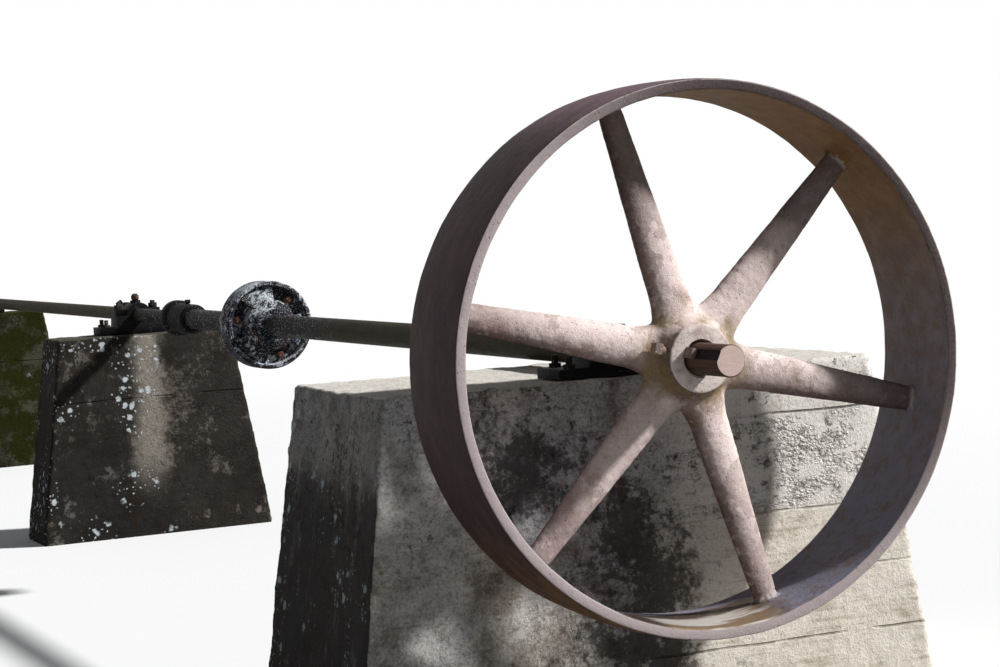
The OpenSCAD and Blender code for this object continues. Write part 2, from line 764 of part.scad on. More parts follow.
module thrust_collar() {
    color("#3a3431")
        on_shaft(thrust_y)
            difference() {
                translate([0, 0, -thrust_w / 2]) bar(thrust_d / 2, thrust_w, 4);
                translate([0, 0, -thrust_w]) cylinder(r = tail_r + fixed_gap, h = 2 * thrust_w, $fn = 96);
                rotate([0, 0, 120]) screw_hole(tail_r, 0);
            }
}

module thrust_collar_screw() {
    color("#6b5a4e")
        on_shaft(thrust_y) rotate([0, 0, 120])
            collar_screw(tail_r + fixed_gap, thrust_d / 2 + 2, 0);
}

near_pier();
middle_pier();
far_pier();
near_bearing_base();
near_bearing_cap();
near_foot_studs();
near_cap_bolts();
near_oil_cup();
middle_bearing_base();
middle_bearing_cap();
middle_foot_studs();
middle_cap_bolts();
middle_oil_cup();
far_bearing_base();
far_bearing_cap();
far_foot_studs();
far_cap_bolts();
far_oil_cup();
main_shaft();
shaft_key();
belt_pulley();
hub_set_screw();
coupling_near_half();
coupling_far_half();
coupling_bolts();
tail_shaft();
reducing_collar();
reducing_collar_screw();
thrust_collar();
thrust_collar_screw();
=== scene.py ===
"""A belt pulley on its line shaft and concrete piers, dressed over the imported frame."""

import json
import math
from contextlib import contextmanager

import bmesh
import bpy
from mathutils import Matrix, Vector

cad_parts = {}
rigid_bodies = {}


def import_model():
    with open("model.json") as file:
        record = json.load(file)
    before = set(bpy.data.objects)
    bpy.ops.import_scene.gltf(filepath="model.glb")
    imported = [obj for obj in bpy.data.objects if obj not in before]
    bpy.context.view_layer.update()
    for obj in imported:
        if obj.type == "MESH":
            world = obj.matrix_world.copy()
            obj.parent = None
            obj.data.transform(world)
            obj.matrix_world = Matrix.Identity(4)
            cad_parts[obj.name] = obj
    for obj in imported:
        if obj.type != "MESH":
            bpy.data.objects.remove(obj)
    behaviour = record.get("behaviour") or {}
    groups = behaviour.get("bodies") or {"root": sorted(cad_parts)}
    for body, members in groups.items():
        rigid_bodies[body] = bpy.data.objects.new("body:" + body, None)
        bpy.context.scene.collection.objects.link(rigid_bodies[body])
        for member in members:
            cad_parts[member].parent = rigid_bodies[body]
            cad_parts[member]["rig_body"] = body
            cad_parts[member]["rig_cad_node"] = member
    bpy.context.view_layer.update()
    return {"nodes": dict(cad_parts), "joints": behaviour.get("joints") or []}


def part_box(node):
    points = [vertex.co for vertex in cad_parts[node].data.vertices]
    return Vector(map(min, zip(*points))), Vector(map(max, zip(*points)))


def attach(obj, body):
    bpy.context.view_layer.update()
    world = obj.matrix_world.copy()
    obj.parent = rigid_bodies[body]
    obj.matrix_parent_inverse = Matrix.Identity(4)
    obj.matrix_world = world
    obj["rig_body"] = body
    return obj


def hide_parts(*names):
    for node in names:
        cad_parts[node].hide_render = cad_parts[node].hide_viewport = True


bl_info = {
    "name": "Belt pulley and line shaft",
    "version": (1, 0, 0),
    "blender": (4, 5, 0),
    "location": "3D View > Sidebar > Line Shaft",
    "description": "Dresses a cast pulley, its shaft, bearings and weathered concrete piers",
    "category": "Add Mesh",
}

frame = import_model()

SHAFT = "line_shaft"
FOUNDATION = "foundation"
AXIS_Z = frame["joints"][0]["pos_m"][2]
PULLEY_LOW, PULLEY_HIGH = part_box("belt_pulley")
PULLEY_Y = (PULLEY_LOW.y + PULLEY_HIGH.y) / 2
PULLEY_R = (PULLEY_HIGH.z - PULLEY_LOW.z) / 2

# Fixed sizes of the pieces, in metres
KEYWAY_WIDTH = 0.0222
KEYWAY_TOP = 0.0438         # from the shaft's axis
KEYWAY_BAR = 0.030          # depth of the bar that cuts it
HUB_ROUND = 0.007           # rounding at the hub's ends
HUB_FACING = 0.0008         # what is turned off each end
ARM_ROOT = 0.014            # how far an arm starts inside the hub
ARM_TIP = 0.009             # how far it ends inside the rim
SMALL_EDGE = 0.0012         # rounding on bolts, screws, key and cups
TURNED_EDGE = 0.0015        # rounding on the coupling and the collars
PIER_BEVEL = 0.012          # bevel round the top of a pier
LEDGE_RISE = 0.004          # height of the ledge's slope
FLAT_FOOT = 0.012           # lower than this, a pier is flattened onto the floor
UNCHIPPED_FOOT = 0.03       # lower than this, its edges stay whole
LEVEL = 0.0005              # points this close in height count as level
SHARP_TURN = 0.10           # 1 less the cosine between faces at a chipped edge
RIM_RINGS = 28              # rows of faces across the rim
LINE_MIDDLE = 3.4           # middle of the shaft line along Y
LINE_HALF = 4.2             # half its length, where the floor keeps its shadow


# Sizes and colours

def number_value(name, description, default, **limits):
    return bpy.props.FloatProperty(name=name, description=description, default=default, **limits)


def size_value(name, description, default):
    return number_value(name, description, default, subtype="DISTANCE")


def angle_value(name, description, degrees):
    return number_value(name, description, math.radians(degrees), subtype="ANGLE")


def colour_value(name, description, default):
    return bpy.props.FloatVectorProperty(name=name, description=description, default=default,
                                         subtype="COLOR", size=3)


class CameraSettings(bpy.types.PropertyGroup):
    position: bpy.props.FloatVectorProperty(
        name="Position", description="Where the camera stands", subtype="TRANSLATION",
        default=(-2.5281, -5.6223, 1.2348))
    yaw: angle_value("Yaw", "Turn of the view from +Y towards +X", 22.49)
    pitch: angle_value("Pitch", "Rise of the view over the horizon", -3.12)
    roll: angle_value("Roll", "Lean of the picture's upright", -3.52)
    lens: number_value("Lens", "Focal length on a 36 mm wide sensor", 92.39,
                       subtype="DISTANCE_CAMERA")


class LightSettings(bpy.types.PropertyGroup):
    key: number_value("Key", "Strength of the soft key light from the right", 5.0)
    key_angle: angle_value("Key softness", "Width of the key light in the sky", 3.5)
    key_from: bpy.props.FloatVectorProperty(
        name="Key from", description="Direction that the key light comes from",
        subtype="DIRECTION", default=(0.715, -0.36, 0.60))
    fill_power: number_value("Fill power", "Power of the wide lamp on the left", 11.0,
                             subtype="POWER")
    ambient: number_value("Ambient", "Strength of the even light from all round", 0.125)
    floor_bounce: number_value("Floor bounce", "Share of the floor's colour that lights the piece",
                               0.35, min=0.0, max=1.0)
    floor_colour: colour_value("Floor", "Colour of the floor", (0.88, 0.88, 0.875))


class ConcreteSettings(bpy.types.PropertyGroup):
    pale: colour_value("Pale", "Bleached concrete", (0.74, 0.695, 0.615))
    grey: colour_value("Grey", "Middle tone of the concrete", (0.48, 0.478, 0.482))
    brown: colour_value("Brown", "Stained concrete", (0.115, 0.088, 0.068))
    mould: colour_value("Mould", "Black mould", (0.022, 0.021, 0.022))
    lichen: colour_value("Lichen", "Pale lichen spots", (0.58, 0.63, 0.65))
    moss: colour_value("Moss", "Moss on the far pier", (0.016, 0.017, 0.003))
    lift_z: size_value("Lift joint", "Height of the joint between two pours", 0.452)
    ledge: size_value("Ledge", "How far the lower pour stands out", 0.005)
    grid: size_value("Grid", "Size of one face of the weathered surface", 0.0088)
    worn_edge: size_value("Worn edge", "Rounding of the upright corners", 0.012)


class IronSettings(bpy.types.PropertyGroup):
    # The bloom goes mostly on the faces turned to the key light: pale rust and painted light.
    bloom: colour_value("Bloom", "Palest rust on the casting", (0.90, 0.745, 0.70))
    rust: colour_value("Rust", "Middle tone of the casting", (0.150, 0.096, 0.086))
    dark: colour_value("Dark rust", "Darkest rust on the casting", (0.055, 0.036, 0.034))
    # The tread's dark colour is partly belt patina, partly painted shade.
    tread: colour_value("Tread", "Face that the belt polished", (0.026, 0.0145, 0.0138))
    ochre: colour_value("Ochre", "Yellow staining round the hub", (0.25, 0.175, 0.065))
    shaft: colour_value("Shaft", "Brown of the shaft", (0.034, 0.029, 0.014))
    grease: colour_value("Grease", "Old grease and black rust on the bearings",
                         (0.005, 0.005, 0.0055))
    soft_edge: size_value("Soft edge", "Rounding on the edges of the bearings", 0.0028)


class PulleySettings(bpy.types.PropertyGroup):
    face_width: size_value("Face width", "Width of the rim", 0.275)
    crown: size_value("Crown", "Fall of the rim's outside from mid-face to its edges", 0.005)
    rim_edge: size_value("Rim edge", "Thickness of the rim at its edges", 0.026)
    rim_middle: size_value("Rim middle", "Thickness of the rim at mid-face", 0.034)
    rim_round: size_value("Rim round", "Rounding on the edges of the rim", 0.0045)
    arms: bpy.props.IntProperty(name="Arms", description="Number of arms", default=6, min=3,
                                max=10)
    arm_phase: angle_value("First arm", "Angle of the first arm over the horizontal", -14)
    arm_at_hub: size_value("Arm at hub", "Width of an arm where it leaves the hub", 0.100)
    arm_at_rim: size_value("Arm at rim", "Width of an arm where it meets the rim", 0.060)
    arm_flatness: number_value("Arm flatness", "Thickness of an arm as a share of its width", 0.52)
    hub_fillet: size_value("Hub fillet", "Spread of the fillet at the hub", 0.026)
    rim_fillet: size_value("Rim fillet", "Radius of the fillet at the rim", 0.016)
    hub_length: size_value("Hub length", "Length of the hub along the shaft", 0.132)
    boss: size_value("Boss", "Diameter of the bosses at the hub's faces", 0.156)
    hub: size_value("Hub", "Diameter of the hub between the arms", 0.214)
    bore: size_value("Bore", "Diameter of the bore", 0.0715)
    mouth: size_value("Mouth", "Diameter of the countersunk mouth", 0.086)
    mouth_depth: size_value("Mouth depth", "Depth of the countersunk mouth", 0.009)
    grid: size_value("Grid", "Size of one face of the cast skin", 0.0036)


SETTINGS = {
    "shaft_pulley": PulleySettings,
    "shaft_camera": CameraSettings,
    "shaft_light": LightSettings,
    "shaft_concrete": ConcreteSettings,
    "shaft_iron": IronSettings,
}


# Materials

def shade(colour, factor):
    """The same colour, darker under a factor of 1 and lighter over it."""
    return [value * factor for value in colour]


class Field:
    """A value that varies over a surface; plain arithmetic on it adds the nodes."""

    def __init__(self, graph, socket):
        self.graph = graph
        self.socket = socket

    def __add__(self, other):
        return self.graph.math("ADD", self, other)

    def __sub__(self, other):
        return self.graph.math("SUBTRACT", self, other)

    def __rsub__(self, other):
        return self.graph.math("SUBTRACT", other, self)

    def __mul__(self, other):
        return self.graph.math("MULTIPLY", self, other)

    def __truediv__(self, other):
        return self.graph.math("DIVIDE", self, other)

    def __abs__(self):
        return self.graph.math("ABSOLUTE", self)

    __radd__ = __add__
    __rmul__ = __mul__


class Graph:
    """Adds nodes to a tree and links them."""

    def __init__(self, tree):
        self.tree = tree
        tree.nodes.clear()

    def add(self, kind, inputs=None, **attributes):
        node = self.tree.nodes.new(kind)
        for key, value in attributes.items():
            setattr(node, key, value)
        for key, value in (inputs or {}).items():
            self.feed(node.inputs[key], value)
        return node

    def feed(self, socket, value):
        if isinstance(value, Field):
            value = value.socket
        if isinstance(value, bpy.types.NodeSocket):
            self.tree.links.new(value, socket)
        elif socket.type == "RGBA" and len(value) == 3:
            socket.default_value = (*value, 1)
        else:
            socket.default_value = value

    def math(self, operation, a, b=0.0, clamp=False):
        node = self.add("ShaderNodeMath", {0: a, 1: b}, operation=operation, use_clamp=clamp)
        return Field(self, node.outputs[0])

    def larger(self, a, b):
        return self.math("MAXIMUM", a, b)

    def clamp(self, value):
        return self.math("ADD", value, 0.0, clamp=True)

    def seen(self):
        """1 for what the camera sees, straight, in a reflection or through glass."""
        path = self.add("ShaderNodeLightPath").outputs
        either = self.larger(path["Is Camera Ray"], path["Is Glossy Ray"])
        return self.larger(either, path["Is Transmission Ray"])


class Surface(Graph):
    """The nodes of one material, from an object's own coordinates to its shader."""

    def __init__(self, name):
        self.material = bpy.data.materials.get(name) or bpy.data.materials.new(name)
        self.material.use_nodes = True
        super().__init__(self.material.node_tree)
        self.bsdf = self.add("ShaderNodeBsdfPrincipled")
        self.out = self.add("ShaderNodeOutputMaterial", {"Surface": self.bsdf.outputs["BSDF"]})
        coords = self.add("ShaderNodeTexCoord").outputs
        self.place = coords["Object"]
        self.normal = coords["Normal"]
        self.x, self.y, self.z = self.split(self.place)

    def split(self, vector):
        """The three parts of a vector."""
        parts = self.add("ShaderNodeSeparateXYZ", {"Vector": vector})
        return [Field(self, part) for part in parts.outputs]

    def stretched(self, scale, offset=(0, 0, 0), vector=None):
        """Object coordinates, scaled along each axis, so that noise turns into grain."""
        node = self.add("ShaderNodeMapping", {
            "Vector": vector or self.place, "Scale": scale, "Location": offset})
        return node.outputs["Vector"]

    def noise(self, scale, detail=4.0, rough=0.55, vector=None, distortion=0.0):
        node = self.add("ShaderNodeTexNoise", {
            "Vector": vector or self.place, "Scale": scale, "Detail": detail,
            "Roughness": rough, "Distortion": distortion})
        return Field(self, node.outputs["Fac"])

    def grain(self, scale, detail, rough):
        """Noise drawn out along the axes where the scale is small."""
        return self.noise(1.0, detail, rough, self.stretched(scale))

    def cells(self, scale, feature="F1", vector=None):
        node = self.add("ShaderNodeTexVoronoi", {
            "Vector": vector or self.place, "Scale": scale}, feature=feature)
        return Field(self, node.outputs["Distance"])

    def band(self, value, low, high):
        """0 below low, 1 above high, smooth between. Turned round where low is over high."""
        node = self.add("ShaderNodeMapRange", {
            "Value": value, "From Min": min(low, high), "From Max": max(low, high),
            "To Min": 0.0 if low < high else 1.0, "To Max": 1.0 if low < high else 0.0},
            interpolation_type="SMOOTHSTEP")
        return Field(self, node.outputs["Result"])

    def mix(self, factor, a, b, blend="MIX"):
        node = self.add("ShaderNodeMix", data_type="RGBA", blend_type=blend)
        for index, value in ((0, factor), (6, a), (7, b)):
            self.feed(node.inputs[index], value)
        return node.outputs[2]

    def mottled(self, value, low, high, dark, light):
        """One colour turning into another where the value passes from low to high."""
        return self.mix(self.band(value, low, high), dark, light)

    def between(self, value, low, high):
        """Low where the value is 0, high where it is 1."""
        node = self.add("ShaderNodeMapRange", {"Value": value, "To Min": low, "To Max": high})
        return Field(self, node.outputs["Result"])

    def either(self, factor, a, b):
        """One value where the factor is 0, another where it is 1."""
        node = self.add("ShaderNodeMix", {0: factor, 2: a, 3: b}, data_type="FLOAT")
        return Field(self, node.outputs[0])

    def bump(self, height, strength, distance):
        return self.add("ShaderNodeBump", {"Height": height, "Strength": strength,
                                           "Distance": distance}).outputs["Normal"]

    def reach(self):
        """Distance from the shaft's axis."""
        up = self.z - AXIS_Z
        return self.math("SQRT", self.x * self.x + up * up)

    def ring_coordinates(self, reach, up, along, around, outward):
        """Angle about the shaft, distance along it and distance from it, each scaled."""
        turned = abs(self.math("ARCTAN2", up, self.x))
        node = self.add("ShaderNodeCombineXYZ", {
            "X": turned * around, "Y": self.y * along, "Z": reach * outward})
        return node.outputs["Vector"]

    def warped(self, amount, scale):
        """Object coordinates, shaken by noise."""
        noise = self.add("ShaderNodeTexNoise", {
            "Vector": self.place, "Scale": scale, "Detail": 3.0})
        node = self.add("ShaderNodeMix", {0: amount}, data_type="VECTOR")
        self.feed(node.inputs[4], self.place)
        self.feed(node.inputs[5], noise.outputs["Color"])
        return node.outputs[1]

    def blotch(self, x, z, width, height):
        """1 at a place on the front of a pier, fading to 0 at its half width and half height."""
        across = (self.x - x) / width
        upward = (self.z - z) / height
        return self.band(across * across + upward * upward, 1.0, 0.1)

    def trough_patch(self, inside, left, right, back):
        """A ragged patch in the bottom of the rim, from its front edge as far as back."""
        edge = self.x + self.noise(9, 4, 0.6) * 0.12
        across = self.band(edge, left, left + 0.05) * self.band(edge, right, right - 0.06)
        shore = self.y + self.noise(14, 4, 0.6) * 0.05
        along = self.band(shore, PULLEY_Y + back + 0.03, PULLEY_Y + back)
        return inside * (across * along)

    def finish(self, colour, roughness, normal=None, specular=0.4):
        self.feed(self.bsdf.inputs["Base Color"], colour)
        self.feed(self.bsdf.inputs["Roughness"], roughness)
        self.bsdf.inputs["Specular IOR Level"].default_value = specular
        if normal:
            self.feed(self.bsdf.inputs["Normal"], normal)
        return self.material


# Colours of single layers; where there are two, noise runs from the first to the second

WARM_RUST = (0.22, 0.115, 0.068)
TREAD_SOOT = (0.030, 0.021, 0.029)
TREAD_PAINTED_LIGHT = (0.120, 0.070, 0.084), (0.175, 0.110, 0.128)
TREAD_BOUNCE_LIGHT = (0.060, 0.030, 0.014), (0.17, 0.080, 0.026)
RIM_INSIDE = (0.205, 0.178, 0.182), (0.285, 0.258, 0.272)
RIM_BROWN = (0.17, 0.100, 0.064)
RIM_SKY_REFLECTION = (0.235, 0.245, 0.34)
RIM_OCHRE = (0.14, 0.066, 0.018), (0.24, 0.122, 0.030)
RIM_FACE_PAINTED_SHADE = (0.058, 0.041, 0.042), (0.112, 0.083, 0.082)
RIM_FACE_PAINTED_LIGHT = (0.30, 0.245, 0.245), (0.60, 0.505, 0.505)
RIM_EDGE_HIGHLIGHT = (0.60, 0.52, 0.50)
BOSS_FACE = (0.78, 0.68, 0.62), (0.44, 0.345, 0.31)
LIP_RUST = (0.19, 0.105, 0.050)
PITS = (0.03, 0.02, 0.018)
MUD = (0.060, 0.038, 0.024), (0.110, 0.066, 0.036)
SILT_AND_SKY_REFLECTION = (0.30, 0.205, 0.125), (0.74, 0.69, 0.64)

BAR_RUST = (0.085, 0.052, 0.028)
BAR_SOOT = (0.013, 0.013, 0.014)
BAR_LICHEN = (0.50, 0.54, 0.58)
STUB_RUST = (0.125, 0.072, 0.055)
KEYWAY_PAINTED_SHADE = (0.012, 0.012, 0.018)
SAWN_END = (0.50, 0.340, 0.300), (0.85, 0.66, 0.61)

GREASE_WORN = (0.036, 0.024, 0.018)
GREASE_DUST = (0.070, 0.056, 0.048)
GREASE_SPECKS = (0.42, 0.44, 0.43)

# The casting, its rust and its lichen
PULLEY_FITTINGS = (0.20, 0.150, 0.13), (0.32, 0.23, 0.18), (0.62, 0.57, 0.54)
BEARING_BOLTS = (0.028, 0.024, 0.023), (0.085, 0.058, 0.042), (0.36, 0.38, 0.37)
COUPLING = (0.011, 0.014, 0.024), (0.042, 0.027, 0.024), (0.66, 0.71, 0.76)
COUPLING_BOLTS = (0.050, 0.026, 0.020), (0.13, 0.055, 0.038), (0.40, 0.36, 0.33)
COLLARS = (0.006, 0.006, 0.008), (0.020, 0.015, 0.013), (0.40, 0.44, 0.48)

PAINTED_SUNLIGHT = (0.93, 0.885, 0.82)
PORES = (0.060, 0.050, 0.042)
CAVITIES = (0.040, 0.034, 0.029)
SOAKED = (0.16, 0.115, 0.080)
CREAM_AND_SUNLIGHT = (0.90, 0.80, 0.65)
STREAKS = (0.38, 0.29, 0.20)
RUNS = (0.085, 0.050, 0.030)


def cast_rust(name, iron):
    """Sand-cast iron under years of rust: a dark polished tread, paler arms, an ochre web, with
    light and shade painted on the arms, tread and rim as the key light falls.
    """
    g = Surface(name)
    face_x, face_y, face_z = g.split(g.normal)
    up = g.z - AXIS_Z
    reach = g.reach()
    radial = (face_x * g.x + face_z * up) / reach
    sunward = (g.x * 0.757 + up * 0.653) / reach
    flat = g.band(abs(face_y), 0.55, 0.85)

    broad = g.noise(4.5, 5, 0.6)
    cloud = g.noise(19, 7, 0.66)
    skin = g.noise(70, 5, 0.62, distortion=0.5)
    grain = g.noise(260, 4, 0.7)
    flakes = g.band(g.noise(7.5, 7, 0.60), 0.545, 0.556)

    # Arms
    # Paler bloom on the faces turned towards the key light and darker rust on those turned away:
    # painted light and shade, with some random bloom.
    facing = face_x * 0.62 + face_z * 0.62 - face_y * 0.42
    bloom_and_painted_light = g.clamp(g.band(facing, -0.12, 0.52) * 0.72 + g.band(broad, 0.34, 0.66) * 0.30)
    arms = g.mix(bloom_and_painted_light, iron.rust, iron.bloom)
    arms = g.mix(g.band(facing, 0.04, -0.55) * 0.62, arms, iron.dark)
    arms = g.mix(g.band(cloud, 0.50, 0.74) * 0.24, arms, iron.dark)
    # The arms darker towards the rim: partly weathering, partly painted shade of the rim.
    outward = reach + broad * 0.12
    arms = g.mix(g.band(outward, 0.36, 0.58) * 0.52, arms, iron.rust)
    arms = g.mix(g.band(skin, 0.48, 0.70) * 0.35, arms, iron.bloom)
    seam = g.band(abs(g.y - PULLEY_Y), 0.0022, 0.0008) * g.band(reach, 0.16, 0.20)
    arms = g.mix(seam * 0.35, arms, iron.dark)
    arms = g.mix(g.band(g.noise(11, 5, 0.62), 0.52, 0.70) * 0.45, arms, WARM_RUST)
    arms = g.mix(flakes * 0.34, arms, shade(iron.rust, 1.25))
    # Painted shadow of the rim on the outer arms, on the side towards the key light.
    rim_shadow = g.band(outward, 0.34, 0.48) * g.band(sunward, -0.05, 0.25)
    arms = g.mix(rim_shadow * 0.62, arms, iron.dark)

    # Rim
    around = g.noise(1.0, 6, 0.66, g.ring_coordinates(reach, up, along=30, around=9, outward=60))
    # A dark tread, partly belt patina and partly painted shade, painted lighter on the side
    # towards the key light.
    tread = g.mottled(around, 0.40, 0.66, iron.tread, shade(iron.tread, 1.9))
    tread = g.mix(g.band(cloud, 0.50, 0.66) * 0.5, tread, TREAD_SOOT)
    tread = g.mix(g.band(sunward, 0.0, 0.35) * 0.85, tread,
                  g.mottled(around, 0.36, 0.66, *TREAD_PAINTED_LIGHT))
    # The bottom of the tread warmer and brighter: painted bounce light.
    tread = g.mix(g.band(up, -0.28, -0.56) * 0.75, tread,
                  g.mottled(around, 0.36, 0.62, *TREAD_BOUNCE_LIGHT))
    inside = g.mottled(cloud, 0.34, 0.68, *RIM_INSIDE)
    inside = g.mix(g.band(broad, 0.46, 0.66) * 0.20, inside, RIM_BROWN)
    # Bluish lower inside of the rim: painted sky reflection.
    inside = g.mix(g.band(up, 0.02, -0.40) * 0.65, inside, RIM_SKY_REFLECTION)
    inside = g.mix(g.band(up, -0.02, 0.42) * 0.94, inside,
                   g.mottled(cloud, 0.34, 0.66, *RIM_OCHRE))
    # The rim's side face painted pale on the left and bottom of the wheel and dark on the top and
    # right, as light falls on its inward-turned edge: painted light and shade.
    face = g.mottled(grain, 0.36, 0.64, *RIM_FACE_PAINTED_SHADE)
    face = g.mix(g.band(sunward, 0.78, -0.12), face, g.mix(grain, *RIM_FACE_PAINTED_LIGHT))
    # Painted highlight along the outer and inner edges of the rim's side face, broken by noise.
    edge = g.larger(g.band(reach, PULLEY_R - 0.0105, PULLEY_R - 0.0075),
                    g.band(reach, PULLEY_R - 0.0275, PULLEY_R - 0.0305))
    edge = edge * g.band(g.noise(30, 4, 0.6), 0.30, 0.50)
    face = g.mix(edge * 0.75, face, RIM_EDGE_HIGHLIGHT)
    rim = g.mix(flat, g.mottled(radial, 0.35, 0.60, inside, tread), face)
    rim_zone = g.band(reach, PULLEY_R - 0.046, PULLEY_R - 0.036)
    colour = g.mix(rim_zone, arms, rim)

    # Hub, and the foot of each arm at the rim
    boss = g.band(reach, 0.080, 0.074) * flat
    colour = g.mix(boss, colour, g.mottled(cloud, 0.42, 0.68, *BOSS_FACE))
    web = g.band(reach, 0.072, 0.082) * g.band(reach, 0.170, 0.098) * (1.0 - boss)
    stain = web * g.band(g.noise(13, 6, 0.66), 0.36, 0.62)
    colour = g.mix(stain * 0.85, colour, iron.ochre)
    lip = g.band(reach, PULLEY_R - 0.075, PULLEY_R - 0.040) * (1.0 - flat)
    lip = lip * g.band(g.noise(26, 6, 0.7), 0.46, 0.62) * g.band(radial, 0.5, 0.1)
    colour = g.mix(lip * 0.5, colour, LIP_RUST)

    # Cracks and pits all over
    cracks = g.band(g.cells(17, "DISTANCE_TO_EDGE", g.warped(0.03, 30)), 0.010, 0.003)
    cracks = cracks * g.band(reach, 0.24, 0.12) * g.band(g.noise(8, 2, 0.5), 0.50, 0.54)
    pits = g.band(g.cells(90), 0.20, 0.08) * g.band(g.noise(21, 4, 0.6), 0.50, 0.58)
    marks = g.larger(pits * 0.7, cracks * 0.4)
    colour = g.mix(marks, colour, PITS)
    colour = g.mix(g.band(grain, 0.50, 0.70) * 0.28, colour, iron.dark)

    # Mud and a puddle in the bottom of the rim; the puddle's pale streaks are partly silt, partly
    # painted sky reflection
    trough = g.band(up, -0.45, -0.50) * g.band(radial, -0.2, -0.6)
    streaks = g.grain((5, 18, 1), 4, 0.55)
    wet = g.trough_patch(trough, -0.24, 0.24, 0.09)
    colour = g.mix(wet * 0.9, colour, g.mottled(streaks, 0.34, 0.66, *MUD))
    puddle = g.trough_patch(trough, -0.12, 0.21, 0.01)
    colour = g.mix(puddle * 0.85, colour, g.mottled(streaks, 0.42, 0.54, *SILT_AND_SKY_REFLECTION))

    wrinkles = g.noise(135, 4, 0.62, distortion=1.1)
    relief = (skin * 0.40 + wrinkles * 0.55 + cloud * 0.35 + grain * 0.22 - marks * 0.5
              - flakes * 0.16)
    relief = relief * (1.0 - wet * 0.8)
    rough = g.between(cloud, 0.40, 0.58) + rim_zone * 0.20 - wet * 0.58
    return g.finish(colour, rough, g.bump(relief, 0.60, 0.0038), specular=0.13)


def old_steel(name, brown, speck_from, speck_to, iron, end_y=None):
    """Round bar gone brown, with lichen specks between two places along it."""
    g = Surface(name)
    along = g.grain((60, 3.5, 60), 6, 0.65)
    cloud = g.noise(26, 5, 0.6)
    fine = g.noise(300, 3, 0.7)
    colour = g.mottled(along, 0.38, 0.66, brown, shade(brown, 0.42))
    colour = g.mix(g.band(cloud, 0.50, 0.74) * 0.5, colour, BAR_RUST)
    colour = g.mix(g.band(fine, 0.55, 0.70) * 0.4, colour, iron.grease)
    span = (g.band(g.y, speck_from - 0.25, speck_from + 0.1)
            * g.band(g.y, speck_to + 0.25, speck_to - 0.1))
    colour = g.mix(span * g.band(cloud, 0.26, 0.46) * 0.86, colour, BAR_SOOT)
    specks = g.band(g.cells(125), 0.33, 0.18) * g.band(g.noise(34, 4, 0.6), 0.44, 0.52)
    colour = g.mix(specks * span, colour, BAR_LICHEN)
    if end_y is not None:
        stub = g.band(g.y, end_y + 0.17, end_y + 0.13) * g.band(along, 0.30, 0.60)
        colour = g.mix(stub, colour, STUB_RUST)
        # Painted shade on the floor of the keyway.
        keyway = g.band(g.reach(), 0.0345, 0.0335)
        colour = g.mix(keyway * 0.92, colour, KEYWAY_PAINTED_SHADE)
        sawn = g.band(g.y, end_y + 0.0012, end_y + 0.0004)
        saw_marks = g.grain((60, 1, 420), 4, 0.6)
        colour = g.mix(sawn, colour, g.mix(saw_marks, *SAWN_END))
    return g.finish(colour, 0.66, g.bump(along + fine * 0.5, 0.35, 0.0012), specular=0.06)


def lichened_iron(name, casting, rust, lichen, amount, iron, upward=0.0, dusting=0.0):
    """Dark casting with crusts of pale lichen, mostly on what faces up, partly as painted light on
    the tops, and red rust.
    """
    g = Surface(name)
    face_z = g.split(g.normal)[2]
    cloud = g.noise(22, 6, 0.65)
    fine = g.noise(260, 3, 0.7)
    colour = g.mottled(cloud, 0.42, 0.66, casting, rust)
    colour = g.mix(g.band(fine, 0.52, 0.68) * 0.5, colour, iron.grease)
    crust = g.noise(60, 6, 0.72, distortion=0.6) * 0.62 + g.noise(9, 4, 0.55) * 0.38
    # More lichen on faces turned up: lichen, and partly painted light on the tops.
    cover = g.band(crust + face_z * upward, amount, amount + 0.035)
    cover = cover * (1.0 - g.band(g.noise(150, 3, 0.7), 0.47, 0.53) * (0.65 * dusting))
    wider = 0.10 * dusting
    dots = (g.band(g.cells(150 + 60 * dusting), 0.28, 0.16)
            * g.band(g.noise(40, 3, 0.6), 0.50 - wider, 0.56 - wider))
    cover = g.larger(cover, dots)
    colour = g.mix(cover * 0.9, colour, lichen)
    return g.finish(colour, 0.74, g.bump(cover * 0.5 + fine * 0.5, 0.55, 0.0016), specular=0.07)


def greasy_iron(name, iron):
    """Bearing castings black with old grease, brown where it has worn away."""
    g = Surface(name)
    cloud = g.noise(24, 6, 0.65)
    fine = g.noise(210, 4, 0.7)
    colour = g.mottled(cloud, 0.54, 0.76, iron.grease, GREASE_WORN)
    colour = g.mix(g.band(fine, 0.58, 0.74) * 0.3, colour, GREASE_DUST)
    dots = g.band(g.cells(160), 0.22, 0.12) * g.band(g.noise(30, 3, 0.6), 0.56, 0.62)
    colour = g.mix(dots * 0.8, colour, GREASE_SPECKS)
    return g.finish(colour, 0.62, g.bump(cloud * 0.6 + fine * 0.4, 0.5, 0.0020), specular=0.07)


